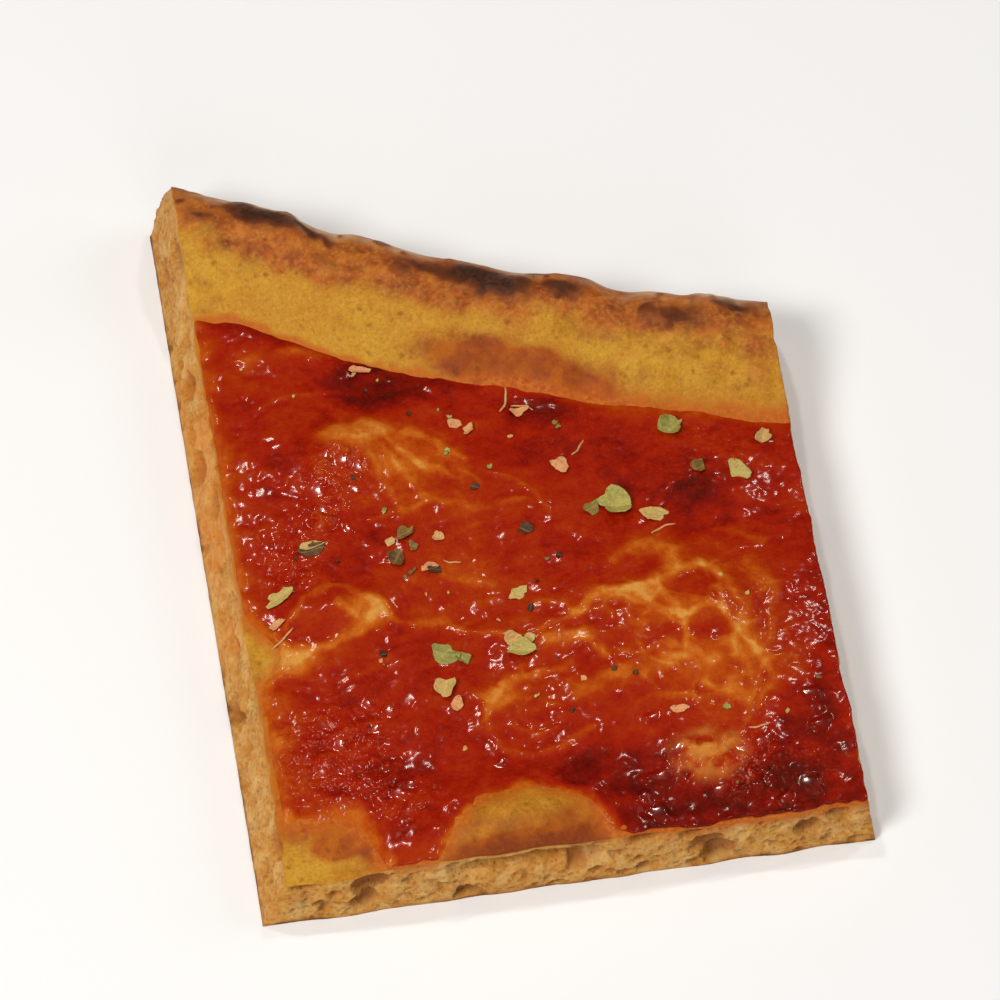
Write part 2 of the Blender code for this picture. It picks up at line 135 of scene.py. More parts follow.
# Pale lines where baked dough ridges carry almost no sauce
VEINS = table(
    Vein,
    (1.2, 0.26, ((7, 40), (8.5, 42), (12, 42.8), (15, 41.7), (20, 42), (22.8, 43.9), (27, 44.4))),
    (1.1, 0.24, ((27, 44.4), (31, 41.7), (32.8, 37.4), (32, 33), (33.4, 29))),
    (1.2, 0.2, ((13.5, 48), (16, 49.9), (20, 49.9), (23.4, 47.6), (23.6, 44.6))),
    (1, 0.24, ((17, 40.5), (19.5, 37.6), (23, 36.4), (26.6, 37), (29.6, 36.2))),
    (1, 0.22, ((20.5, 41), (22, 38.4), (23, 36.4))),
    (1, 0.22, ((29.6, 43), (29.2, 39.6), (29.6, 36.2), (31, 32.6), (30, 29))),
    (0.9, 0.16, ((34, 44.6), (36.4, 41), (37.4, 36), (36, 31))),
    (0.9, 0.16, ((23, 36.4), (23.6, 32.6), (22, 29.6))),
    (0.9, 0.14, ((14, 38), (16, 34.6), (20.6, 35.4))),
    (1.4, 0.2, ((3.9, 25.2), (6, 27), (9, 28), (16, 28.4), (21.7, 29.5), (27, 28.8))),
    (0.9, 0.16, ((12, 31.4), (16, 31.2), (21, 32))),
    (1.3, 0.26, ((-9.6, 24.4), (-9, 27), (-6.6, 29.2), (-2.6, 30.2), (3, 30.6))),
    (1, 0.14, ((-7.6, 26), (-5, 27.6), (-3.6, 26.4))),
    (1.1, 0.28, ((1.6, 36.4), (4, 35.4), (7.2, 35.5), (8.6, 33.6), (9.8, 31.4))),
    (0.7, 0.18, ((-21.7, 43.2), (-14, 41.9), (-8.3, 39), (-2.8, 37.2), (3, 38.8), (7, 40))),
    (0.9, 0.24, ((-37.4, 44.6), (-33.6, 48.4), (-30, 50.4), (-26.6, 49), (-23.6, 45.4))),
    (1.1, 0.3, ((-22.6, 44), (-26, 41.9), (-31, 40.9), (-36, 39.6), (-41, 40))),
    (0.8, 0.22, ((-28.4, 46.6), (-26.4, 43.4))),
    (1, 0.16, ((-9.6, 22.4), (-7.4, 18.6), (-3, 16.8), (2.6, 17.6), (6, 20))),
    (0.7, 0.12, ((-6, 22), (-3, 20), (1, 20.6))),
    (1.4, 0.24, ((-37.6, 93.8), (-31, 94.2), (-24, 92.6))),
    (1.1, 0.22, ((-13.6, 76.4), (-10.4, 73.6), (-6, 69.4))),
    (1, 0.2, ((-18, 73.4), (-15, 68), (-12.6, 63.4))),
    (0.9, 0.2, ((-17, 75.4), (-13, 70), (-8.6, 66.6))),
    (0.8, 0.16, ((-20.6, 72), (-18.4, 66.6), (-17, 61.4))),
    (0.7, 0.16, ((-9.6, 71.6), (-6.4, 67.4), (-4.4, 64))),
    (0.8, 0.15, ((-13, 70.6), (-10.6, 66.4))),
    (0.8, 0.15, ((-21, 61.4), (-12, 62), (-6, 60.4), (2, 61))),
    (0.7, 0.12, ((-2, 66), (3, 63.4), (6, 59))),
    (0.8, 0.16, ((30.5, 50.4), (34, 49.6), (37, 47.4))),
    (0.8, 0.12, ((-12, 49), (-8, 48.4), (-5, 47))),
    (0.8, 0.14, ((1, 43.6), (5, 42), (7, 40))),
    (0.7, 0.12, ((-36, 84), (-30, 86), (-24, 85.4))),
    (0.9, 0.14, ((24, 25), (28, 23), (30.6, 19.6), (29, 16))),
    (0.9, 0.14, ((33.4, 29), (34.4, 24.6), (31.6, 20))),
    (0.8, 0.12, ((12, 22), (17, 24), (22, 23))),
    (0.7, 0.1, ((-30, 34), (-24, 36.4), (-17, 36))),
)
VEIN_WARP = 0.7

# Between these x the sauce's back edge turns pale to the right, and to the left it turns deeper red
# as painted shade at the foot of the rim; its front edge fades out more slowly in the corner
BACK_PALE_X, BACK_SHADE_X = (-4.0, 8.0), (0.0, -8.0)
SLOW_CORNER_X = (-25.0, -31.0)

# How pale the sauce ends at the left and at the front, and how evenly
LEFT_EDGE_FILM, FRONT_EDGE_FILM, EDGE_EVENING = 0.36, 0.40, 0.35

# Above this the film rises more slowly
FILM_KNEE, FILM_KNEE_SLOPE = 0.72, 0.6

# A pale, crumbly place, and where a faint web of thin sauce joins the lines
CRUMB_PATCH = Patch(22.8, 13.2, 6.2, 4.4, 0.05, 1.0)
WEB_SIZE, WEB_AMOUNT = 5.6, 0.2
WEB_PATCHES = table(
    Patch,
    (24, 34, 18, 16, 0, 1), (-4, 27, 9, 7, 0, 0.6), (-12, 68, 12, 9, -0.3, 0.5),
)

# The smoother sauce over the pale network and towards the right cut
CALM_RIGHT_X, FINE_RIGHT_X = (22.0, 38.0), (36.0, 42.0)
CALM_PATCH = Patch(20.0, 36.0, 18.0, 14.0, 0.0, 0.45)

# Coarse wet pulp, which carries the small sparkles
GRAIN_BASE = 0.12
GRAIN_PATCHES = table(
    Patch,
    (-25, 72, 6.5, 4, -0.25, 1), (-29.5, 66, 5, 4.5, 0, 0.8), (-35, 57, 9, 8, 0, 0.5),
    (-33, 22, 12, 10, 0, 0.7), (-24, 13, 7, 5, 0, 0.5), (24, 12, 11, 6, 0, 0.6),
    (32, 8, 15, 6, 0, 0.25), (40, 14, 5, 7, 0, 0.25), (26, 22, 7, 5, 0, 0.25),
    (33, 66, 9, 6, -0.3, 0.35),
)

# Height, size and seed of the pulp's granules, from large to small
PULP_LAYERS = ((0.50, 2.6, 97), (0.60, 1.7, 101), (0.30, 1.1, 131))

# Smooth wet facets, which carry the larger glints, leaning left or right
FACETS = table(
    Facet,
    (-27.4, 73, 1.3, "right"), (-25, 71.8, 1.6, "left"), (-22.8, 70.6, 1.4, "right"),
    (-29.8, 67.4, 1.5, "left"), (-24, 66.9, 1, "right"), (-29.4, 64, 1.1, "right"),
    (-25.8, 60.2, 0.9, "left"), (-35.3, 53.4, 0.9, "right"), (-38.9, 58.6, 0.9, "left"),
    (-34.2, 27, 1.2, "right"), (-32.2, 23, 1.3, "left"), (-37.6, 21.6, 1, "right"),
    (-35.8, 18.9, 1.1, "left"), (-33, 19, 0.9, "right"), (-27, 29.4, 1, "left"),
    (-24.2, 27.8, 1.1, "right"), (-26.8, 25, 0.9, "left"), (-22.8, 14.9, 1.1, "right"),
    (-24.8, 13.7, 1.2, "left"), (-23.7, 10.2, 1, "right"), (-8.6, 16.1, 0.9, "left"),
    (15.2, 10.2, 1.7, "right"), (13.6, 4.5, 1.5, "left"), (12, 7.2, 1, "right"),
    (18.4, 14.3, 1.1, "left"), (15.6, 20.1, 1, "right"), (28.4, 12.8, 1.3, "left"),
    (31, 13.4, 1.1, "right"), (32.6, 24.3, 0.9, "left"), (40.6, 15.3, 1.3, "right"),
    (40.2, 20.6, 1.1, "left"), (37.2, 5.8, 1.6, "left"), (33.2, 3.9, 1.2, "right"),
    (23.6, 7, 1.2, "left"),
)
FACET_SLOPES = {"right": (-0.17, 0.09), "left": (0.15, 0.055)}
FACET_CURVE, FACET_STAND = 0.035, 0.15
FACET_TURN, FACET_WOBBLE = 2.4, 0.22
FACET_LONG, FACET_SHORT = 1.25, 0.75

# Where the dough is orange, or golden where the amount is below 0. Before each patch
# come the shares of the noise that push it about along x and along y
ORANGE_PATCHES = (
    (0.5, 0.5, Patch(-41.8, 6.5, 5.6, 9.5, 0.0, -0.42)),
    (0.5, 0.5, Patch(-36.0, 13.6, 6.5, 2.6, -0.1, -0.42)),
    (0.5, 0.5, Patch(-37.0, 2.2, 9.0, 2.6, 0.0, -0.28)),
    (0.4, 0.4, Patch(-34.2, 7.6, 4.6, 2.8, 0.2, 1.3)),
    (1.0, 0.6, Patch(5.0, 84.0, 18.0, 5.0, -0.38, 1.5)),
    # Painted light: a golden band along the blister's crest, brighter than its lower sides
    (0.0, 0.0, Patch(-6.0, 8.4, 9.5, 2.8, 0.0, -0.42)),
)

# Orange along the front, at the bare corner, by the left cut and at the right of the rim's foot
ORANGE_FRONT_Y = (22.0, 11.0)
CORNER_RIGHT_X, CORNER_BACK_Y = -24.0, 16.0
ORANGE_LEFT_X, ORANGE_LEFT_FROM_Y, ORANGE_LEFT_TO_Y = (-38.0, -42.0), (13.0, 19.0), (60.0, 20.0)
ORANGE_RIGHT_X, ORANGE_RIGHT_Y, ORANGE_RIGHT_INSET = (8.0, 20.0), (50.0, 60.0), (16.0, 25.0)

# Where sauce has soaked into the left cut's crumb, and run down the cuts in front of this y
SOAKED_FROM_Y, SOAKED_TO_Y = (35.0, 60.0), (105.0, 85.0)
FLUSH_BACK_Y = 60.0

# Bake of the rim, by distance in from its outer line: brown, streaks, blisters, char and flour
BROWN_INSET, STREAK_INSET = (18.0, 8.5), (27.0, 20.0)
BLISTER_INNER_INSET, BLISTER_OUTER_INSET, CHAR_INSET = (24.0, 16.0), (0.5, 3.0), (13.0, 7.0)
FLOUR_INNER_INSET, FLOUR_OUTER_INSET = (6.4, 2.6), (-6.0, -1.0)

# The stain along the sauce's edge is narrower at the left of the rim's foot
STAIN_INSET, STAIN_X = (30.0, 24.0), (0.0, -6.0)

# Burnt and browned places along the rim, by distance in from its outer line
SCORCHES = table(
    Scorch,
    (-31, 6, 6.5, 2.3, 1), (-24.5, 5, 4, 1.6, 0.8), (2, 6.5, 7.5, 3, 1.15), (-6, 6, 6, 1.8, 0.65),
    (13.5, 7, 3.6, 1.7, 0.8), (31, 8.5, 5.5, 2.4, 0.6), (41, 5.5, 3.5, 1.8, 0.7),
    (-41, 8.5, 3, 2, 0.45),
)
# A faint singe at the foot of the rim
FOOT_SINGE = Patch(1.0, 85.4, 9.0, 2.2, -0.4, 0.12)

# Oregano on this slice, with a tone from dark brown through olive to straw
LEAVES = table(
    Leaf,
    # The first flake, dark brown and just below the pale one after it, stands in for that flake's painted
    # shadow
    (-32, 57, 5.6, 2.2, 0.1, 0.16), (-31.6, 57.8, 4.8, 1.2, 0.12, 0.78),
    (-38, 49.6, 5.4, 2.4, 0.5, 0.78), (-38.8, 45, 3.8, 1.1, 0.6, 0.97),
    (-18.8, 53.8, 3.8, 2.6, 1, 0.27), (-17.2, 57.6, 3.8, 2.2, 0.4, 0.31),
    (-16.2, 55.2, 2.4, 1.5, -0.6, 0.33), (-19.6, 56.6, 2.2, 1.3, 0.2, 0.84),
    (-12, 56.2, 2.4, 1.5, -0.4, 0.99), (-14.2, 51.3, 3.6, 1.3, 0.1, 0.97),
    (-13.4, 50.7, 2.6, 1.2, -0.2, 0.1), (1.4, 55.2, 3, 1.7, -0.6, 0.04), (8.9, 66, 3.4, 2.2, -0.9, 1),
    (16, 57.4, 6, 4.4, -0.1, 0.7), (12.2, 57.6, 3.2, 2.4, 0.5, 0.44),
    (21.4, 55.2, 4.6, 2.2, -0.2, 0.86), (-1.5, 44.6, 4.8, 2.4, 0.3, 0.8),
    (-3.6, 36.6, 3.6, 2.2, 0.5, 0.86), (-2.4, 34.6, 4.2, 2.4, -0.2, 0.74),
    (-1, 36.4, 2.2, 1.4, 0.6, 0.82), (-13.8, 36, 4.6, 3.6, -0.4, 0.56),
    (-11.4, 34.6, 2.6, 2.2, -0.9, 0.52), (-14.8, 30.6, 3.6, 3.2, 1.2, 0.84),
    (-13.6, 27, 2.8, 1.8, -1, 0.98), (-6.6, 76.6, 2.8, 1.8, -0.3, 0.98),
    (-4.4, 75, 2.2, 1.3, 0.6, 0.95), (4, 77.2, 2.8, 1.6, 0.1, 0.96),
    (-19.6, 89.2, 3.6, 1.4, -0.15, 0.98), (27, 70, 4.4, 2.8, 0.6, 0.6), (36, 60.5, 5.2, 3, -0.5, 0.7),
    (41, 66, 3.2, 2.2, 1.1, 0.85), (30, 62, 3, 1.8, 0.2, 0.35), (20, 21, 3.2, 1, -0.05, 0.97),
)


# Shapes by formula


def smoothstep(low, high, value):
    """Ease from 0 at low to 1 at high."""
    t = np.clip((value - low) / (high - low), 0.0, 1.0)
    return t * t * (3.0 - 2.0 * t)


def ripple(x, y, size, seed):
    """Soft unevenness between -1 and 1 with features of the given size, as in the solids."""
    xs, ys = np.broadcast_arrays(np.asarray(x, float) / size, np.asarray(y, float) / size)
    values = [noise.noise((a, b, seed)) for a, b in zip(xs.ravel().tolist(), ys.ravel().tolist())]
    return np.array(values).reshape(xs.shape)


def swell_sum(swells, x, y):
    """Add up smooth mounds and hollows."""
    total = np.zeros(np.broadcast(x, y).shape)
    for s in swells:
        across = ((x - s.x) / s.radius_x) ** 2
        along = ((y - s.y) / s.radius_y) ** 2
        total += s.height * np.exp(-SWELL_FALLOFF * (across + along))
    return total


def scatter(i, j, k, seed):
    """A repeatable number from 0 to 1 for each whole-number place.

    The large numbers mean nothing by themselves: they mix the bits.
    """
    mask = 0xFFFFFFFF
    h = (i * 73856093) ^ (j * 19349663) ^ (k * 83492791) ^ (seed * 40503 + 977)
    h = h & mask
    h = ((h ^ (h >> 15)) * 739982445) & mask
    h = ((h ^ (h >> 12)) * 695872825) & mask
    return ((h ^ (h >> 15)) & mask) / 4294967296.0


def value_noise(x, y, z, seed):
    """Smooth noise from -1 to 1 with features about one unit wide."""
    base = [np.floor(c).astype(np.int64) for c in (x, y, z)]
    part = [c - b for c, b in zip((x, y, z), base)]
    ease = [f * f * f * (f * (f * 6.0 - 15.0) + 10.0) for f in part]
    total = np.zeros(np.shape(x))
    for corner in product((0, 1), repeat=3):
        wx, wy, wz = (share if far else 1.0 - share for share, far in zip(ease, corner))
        total += wx * wy * wz * scatter(*(b + far for b, far in zip(base, corner)), seed)
    return total * 2.0 - 1.0


OCTAVE_RATIO, OCTAVE_SEED_STEP = 2.03, 17


def fractal(x, y, z, size, seed, octaves=3):
    """Layers of noise from coarse to fine."""
    x, y, z = np.broadcast_arrays(x, y, z)
    total = np.zeros(x.shape)
    weight = 1.0
    for octave in range(octaves):
        scale = OCTAVE_RATIO**octave / size
        octave_seed = seed + octave * OCTAVE_SEED_STEP
        total += weight * value_noise(x * scale, y * scale, z * scale, octave_seed)
        weight *= 0.5
    return total / (2.0 - 2.0 * weight)


def flat_noise(x, y, size, seed, octaves=3):
    """Layers of noise over the plan."""
    return fractal(x, y, 0.0 * x, size, seed, octaves)


def warped(x, y, amount, size, seed_x, seed_y):
    """Places pushed about by noise, so that what is drawn on them comes out uneven."""
    return x + amount * flat_noise(x, y, size, seed_x, 2), y + amount * flat_noise(x, y, size, seed_y, 2)


def cells(x, y, z, size, seed):
    """Distance to the nearest scattered point and to the next, in cells, and the nearest one's number.

    The points lie in the plan where z is None.
    """
    flat = z is None
    x, y, z = [np.asarray(c, float) / size for c in np.broadcast_arrays(x, y, 0.0 if flat else z)]
    base = [np.floor(c).astype(np.int64) for c in (x, y, z)]
    first, second, number = np.full(x.shape, 9.0), np.full(x.shape, 9.0), np.zeros(x.shape)
    for di, dj, dk in product((-1, 0, 1), (-1, 0, 1), (0,) if flat else (-1, 0, 1)):
        i, j, k = base[0] + di, base[1] + dj, base[2] + dk
        px = i + scatter(i, j, k, seed)
        py = j + scatter(i, j, k, seed + 1)
        pz = z if flat else k + scatter(i, j, k, seed + 2)
        distance = np.sqrt((x - px) ** 2 + (y - py) ** 2 + (z - pz) ** 2)
        nearer = distance < first
        second = np.where(nearer, first, np.minimum(second, distance))
        number = np.where(nearer, scatter(i, j, k, seed + 3), number)
        first = np.where(nearer, distance, first)
    return first, second, number


def turned(along, across, turn):
    """Two lengths in plan, turned anticlockwise."""
    c, s = math.cos(turn), math.sin(turn)
    return along * c - across * s, along * s + across * c


def patch_mask(patch, x, y):
    """1 inside a turned oval, easing to 0 outside it."""
    along, across = turned(x - patch.x, y - patch.y, -patch.turn)
    away = np.sqrt((along / patch.radius_x) ** 2 + (across / patch.radius_y) ** 2)
    return 1.0 - smoothstep(0.45, 1.25, away)


def patch_sum(patches, x, y):
    """Add up the amounts of ovals that may overlap."""
    return sum(patch.amount * patch_mask(patch, x, y) for patch in patches)


def line_distance(points, x, y):
    """Distance to a line through the points."""
    nearest = np.full(x.shape, 1e9)
    for (x0, y0), (x1, y1) in zip(points[:-1], points[1:]):
        dx, dy = x1 - x0, y1 - y0
        t = np.clip(((x - x0) * dx + (y - y0) * dy) / (dx * dx + dy * dy), 0.0, 1.0)
        nearest = np.minimum(nearest, np.hypot(x - x0 - t * dx, y - y0 - t * dy))
    return nearest


# The outline


def rim_foot(x):
    """Y of the smooth line along the foot of the rim."""
    run = x - BACK_LEFT_X
    return RIM_FOOT_LEFT_Y + RIM_FOOT_SLOPE * run + RIM_FOOT_CURVE * run * run


def sauce_back(x):
    """Y of the sauce's back edge, which wanders along the foot of the rim."""
    shoulder = SHOULDER_DEPTH * np.exp(-(((x - SHOULDER_X) / SHOULDER_REACH) ** 2))
    return rim_foot(x) + shoulder + 0.9 * ripple(x, 0.0, 9.0, 3.1)


def rim_outer(x):
    """Y of the rim's outermost line."""
    share = (x - BACK_LEFT_X) / (BACK_RIGHT_X - BACK_LEFT_X)
    width = RIM_WIDTH_LEFT + (RIM_WIDTH_RIGHT - RIM_WIDTH_LEFT) * share
    between = smoothstep(*RIM_DENT_LEFT_X, x) * smoothstep(*RIM_DENT_RIGHT_X, x)
    dent = RIM_DENT * smoothstep(-0.15, 0.5, ripple(x, 20.0, 8.0, 3.3)) * between
    return rim_foot(x) + width + 0.7 * ripple(x, 50.0, 17.0, 8.4) - dent


def front_edge(x):
    """Y of the front cut at the top."""
    return FRONT_Y + 0.35 * ripple(x, 0.0, 6.0, 5.5)


def sauce_front(x):
    """Y of the sauce's front edge, behind the bare corner and the bare blister."""
    past_corner = smoothstep(CORNER_BARE_X - CORNER_BARE_EASE, CORNER_BARE_X + CORNER_BARE_EASE, x)
    corner = CORNER_BARE_DEPTH * (1.0 - past_corner) * (1.0 + 0.12 * ripple(x, 9.0, 5.0, 1.7))
    across = np.minimum(np.abs(x - BLISTER_X) / BLISTER_HALF_WIDTH, 1.0)
    blister = BLISTER_DEPTH * np.sqrt(1.0 - across * across)
    return front_edge(x) + SAUCE_SETBACK + np.maximum(corner, blister)


def cut_x(y, front_x, back_x):
    """X of a cut side's top edge."""
    return front_x + (back_x - front_x) * y / LEFT_LENGTH


def ragged(along, seed):
    """How far a cut's top edge stands back from its line, from 0 to about 1.2."""
    broad, fine = flat_noise(along, 0.0, 8.0, seed, 2), flat_noise(along, 0.0, 2.2, seed + 7, 2)
    return np.clip(0.45 + 0.45 * broad + 0.28 * fine, 0.0, 1.3)


def left_bare(y):
    """Width of the bare dough along the left cut."""
    patch = PATCH_WIDTH * np.exp(-(((y - PATCH_Y) / PATCH_REACH) ** 2))
    widening = LEFT_BARE_WIDENING * smoothstep(*LEFT_WIDENING_Y, y)
    return LEFT_BARE_WIDTH + patch + widening + 0.4 * ripple(0.0, y, 5.0, 2.2)


def plan_centre():
    """The middle of the slice's box in plan, which becomes the origin."""
    x = np.linspace(FRONT_LEFT_X, FRONT_RIGHT_X, 400)
    low_y = np.min(front_edge(x)) - FRONT_SLANT
    high_y = np.max(rim_outer(x)) - RIM_TOP_INSET + RIM_BULGE
    low_x = cut_x(rim_outer(FRONT_LEFT_X), FRONT_LEFT_X, BACK_LEFT_X) - LEFT_SLANT
    high_x = cut_x(rim_outer(FRONT_RIGHT_X), FRONT_RIGHT_X, BACK_RIGHT_X) + RIGHT_SLANT
    return np.array((float(low_x + high_x) / 2.0, float(low_y + high_y) / 2.0, 0.0))


CENTRE = plan_centre()


# Heights


def dough_blisters(x, y):
    """Small baked bubbles, 0 to 1, with soft shoulders."""
    wx, wy = warped(x, y, 0.8, 3.0, 27, 29)
    total = np.zeros(x.shape)
    for size, seed, share in ((7.0, 31, 0.45), (3.4, 37, 0.40)):
        near, _, number = cells(wx, wy, None, size, seed)
        dome = np.clip(1.0 - (near / (0.22 + 0.3 * number)) ** 2, 0.0, 1.0) ** 1.6
        total = np.maximum(total, dome * (number > 1.0 - share) * (0.55 + 0.45 * size / 7.0))
    return total


def dough_detail(x, y, inset):
    """Fine unevenness of the baked surface: dents, wrinkles and small bubbles."""
    wrinkle = 0.17 * flat_noise(x, y, 4.0, 11) + 0.05 * flat_noise(x, y, 1.1, 23, 2)
    crease = 1.0 - smoothstep(0.0, 0.16, np.abs(flat_noise(0.7 * x, y, 6.5, 19, 2)))
    on_rim = smoothstep(RIM_WIDTH_LEFT - 1.0, RIM_WIDTH_LEFT - 8.0, inset)
    rim = 0.30 * flat_noise(x, y, 7.5, 13, 2) - 0.16 * crease + 0.6 * dough_blisters(x, y)
    return wrinkle + rim * on_rim


def blister_opening(x):
    """1 at the middle of the bare blister's width, 0 beside it."""
    return np.clip(1.0 - ((x - BLISTER_X) / BLISTER_HALF_WIDTH) ** 2, 0.0, 1.0)


BLISTER_ROLL_DROP = 1.5


def blister_roll(x, y):
    """1 at the blister's front edge, where it turns down to its slit, easing to 0 behind."""
    return np.sqrt(blister_opening(x)) * (1.0 - smoothstep(-0.2, 3.4, y - front_edge(x)))


def bread_top(x, y):
    """Height of the baked dough's upper side."""
    floor = BREAD_HEIGHT + swell_sum(DOUGH_SWELLS, x, y)
    floor = floor + 0.45 * ripple(x, y, 17.0, 0.3) + 0.25 * ripple(x, y, 7.0, 4.8)
    crest = RIM_HEIGHT + swell_sum(RIM_SWELLS, x, y) + 0.7 * ripple(x, 0.0, 13.0, 6.2)
    inset = rim_outer(x) - y
    out = 1.0 - np.clip(inset, 0.0, RIM_CREST_INSET) / RIM_CREST_INSET
    outer = RIM_EDGE_HEIGHT + (crest - RIM_EDGE_HEIGHT) * np.sqrt(1.0 - out * out)
    inner = crest + (floor - crest) * smoothstep(RIM_CREST_INSET, RIM_FOOT_INSET, inset)
    height = np.where(inset < RIM_CREST_INSET, outer, inner)
    height = height - blister_roll(x, y) * BLISTER_ROLL_DROP
    return height + dough_detail(x, y, inset) * smoothstep(0.0, 3.0, inset)


def soft_front(x):
    """The sauce's front edge with its corners eased."""
    near = 0.5 * (sauce_front(x - 0.8) + sauce_front(x + 0.8))
    far = 0.5 * (sauce_front(x - 1.6) + sauce_front(x + 1.6))
    return np.maximum(0.4 * sauce_front(x) + 0.35 * near + 0.25 * far, front_edge(x) + 0.2 * SAUCE_SETBACK)


# X between the bare corner and the blister
BARE_SPLIT_X = -22.0


def bare_front_lines():
    """The sauce's edge round the bare corner and the bare blister, as two lines of points."""
    lines = []
    blister_end = BLISTER_X + BLISTER_HALF_WIDTH + 3.0
    for start, end in ((FRONT_LEFT_X - 4.0, BARE_SPLIT_X), (BARE_SPLIT_X, blister_end)):
        x = np.arange(start, end, 0.5)
        y = soft_front(x)
        bare = y > front_edge(x) + SAUCE_SETBACK + 0.3
        lines.append(list(zip(x[bare].tolist(), y[bare].tolist())))
    return lines


BARE_FRONT_LINES = bare_front_lines()

# Behind this y the front edge is too far off to matter
FRONT_REACH_Y = 24.0

# The sauce is thinner between the bare corner and the blister
THIN_WEDGE = Patch(-24.5, 2.5, 6.5, 6.0, 0.0, 0.25)


def edge_reaches(x, y):
    """Distances in from the sauce's edges over bare dough: at the left, the front and the back."""
    left = x - cut_x(y, FRONT_LEFT_X, BACK_LEFT_X) - left_bare(y)
    front = np.full(x.shape, FRONT_REACH_Y)
    near = y < FRONT_REACH_Y
    away = np.minimum(*[line_distance(line, x[near], y[near]) for line in BARE_FRONT_LINES])
    inside = y[near] > soft_front(x[near]) - 0.01
    bare = soft_front(x[near]) > front_edge(x[near]) + SAUCE_SETBACK + 0.3
    front[near] = np.where(inside | ~bare, away, -away)
    return left, front, sauce_back(x) - y


def sauce_reach(x, y):
    """Distance in from the nearest edge over bare dough."""
    left, front, back = edge_reaches(x, y)
    return np.minimum(np.minimum(left, front), back)


def sauce_feather(x, y):
    """0 where the sauce ends on bare dough, easing to 1 at its full depth."""
    left, front, back = edge_reaches(x, y)
    uneven = flat_noise(x, y, 3.0, 161)
    side = smoothstep(-1.6, 3.4, np.minimum(left + 1.6, front) + 1.4 * uneven)
    rear = smoothstep(-0.5, 2.4, back + 0.35 * uneven + 0.25 * flat_noise(x, y, 9.0, 167, 2))
    wedge = patch_sum([THIN_WEDGE], x, y)
    start = soft_front(x)
    bare = smoothstep(0.2, 1.2, start - front_edge(x) - SAUCE_SETBACK)
    border = smoothstep(-0.6, 0.5, left) * (1.0 - bare * smoothstep(-0.4, -1.7, y - start))
    return np.minimum(side, rear) * (1.0 - wedge) * border


def film_mask(x, y):
    """How much dough shows through the sauce: 0 thick and dark, 1 bare."""
    wx = x + VEIN_WARP * flat_noise(x, y, 2.6, 41, 2) + 0.9 * flat_noise(x, y, 8.0, 43, 2)
    wy = y + VEIN_WARP * flat_noise(x, y, 2.6, 47, 2) + 0.9 * flat_noise(x, y, 8.0, 53, 2)
    film = FILM_BASE + 0.12 * flat_noise(x, y, 10.0, 61) + patch_sum(FILM_PATCHES, wx, wy)
    broken = 0.85 + 0.5 * flat_noise(x, y, 2.4, 67)
    near, second, _ = cells(wx + 0.4 * wy, wy, None, WEB_SIZE, 79)
    web = (1.0 - smoothstep(0.0, 0.20, second - near)) * np.clip(2.0 * broken - 1.0, 0.0, 1.4)
    film += WEB_AMOUNT * web * patch_sum(WEB_PATCHES, wx, wy)
    for vein in VEINS:
        distance = line_distance(vein.points, wx, wy)
        core = 1.0 - smoothstep(0.1 * vein.width, 1.15 * vein.width, distance)
        halo = 1.0 - smoothstep(0.6 * vein.width, 2.8 * vein.width, distance)
        film += vein.amount * (1.15 * core * broken + 0.20 * halo)
    film += 0.42 * patch_mask(CRUMB_PATCH, wx, wy) * flat_noise(x, y, 1.9, 77)
    swirl = 2.5 * flat_noise(x, y, 14.0, 69, 2)
    streak = flat_noise(0.36 * x + 0.1 * y + swirl, y - 0.15 * x + 1.6 * swirl, 1.5, 71)
    film += 0.10 * streak + 0.09 * flat_noise(x, y, 2.2, 73)
    left, front, back = edge_reaches(x, y)
    uneven = 1.3 * flat_noise(x, y, 3.0, 163)
    at_left = 1.0 - smoothstep(-0.6, 2.6, left + uneven)
    film += (LEFT_EDGE_FILM - EDGE_EVENING * (film - FILM_BASE)) * at_left
    ease = 2.0 + 2.6 * smoothstep(*SLOW_CORNER_X, x)
    at_front = 1.0 - smoothstep(0.0, 1.0, (front + uneven + 0.6) / ease)
    film += (FRONT_EDGE_FILM - EDGE_EVENING * (film - FILM_BASE)) * at_front
    at_back = 1.0 - smoothstep(0.0, 3.0, back)
    # Back edge: paler to the right, and darker red to the left as painted shade under the rim
    film += at_back * (0.20 * smoothstep(*BACK_PALE_X, x) - 0.12 * smoothstep(*BACK_SHADE_X, x))
    over = np.maximum(film - FILM_KNEE, 0.0)
    return np.clip(film - (1.0 - FILM_KNEE_SLOPE) * over, 0.0, 1.0)


def crumbly_mask(x, y):
    """Where bits of dry crumb stand out of the sauce."""
    inside = patch_mask(CRUMB_PATCH, *warped(x, y, 0.9, 8.0, 43, 53))
    return inside * smoothstep(-0.55, 0.40, flat_noise(x, y, 1.9, 77))


def grain_mask(x, y):
    """Where the sauce is coarse, wet pulp."""
    grain = GRAIN_BASE + 0.20 * flat_noise(x, y, 8.0, 83, 2) - 0.2 * smoothstep(*FINE_RIGHT_X, x)
    return np.clip(grain + patch_sum(GRAIN_PATCHES, *warped(x, y, 2.0, 6.0, 87, 89)), 0.0, 1.0)


def pulp(x, y, size, seed):
    """Rounded granules of uneven height."""
    near, _, number = cells(*warped(x, y, 0.35 * size, size, seed + 5, seed + 6), None, size, seed)
    return np.clip(1.0 - (near / 0.62) ** 2, 0.0, 1.0) ** 0.8 * number**1.5


def lumps(x, y):
    """Height of the pulp from 0 to about 1, large granules with small ones between."""
    return sum(height * pulp(x, y, size, seed) for height, size, seed in PULP_LAYERS)


def sauce_depth(x, y):
    """Depth of the smooth sauce."""
    return SAUCE_THIN + 0.8 * swell_sum(SAUCE_POOLS, x, y)


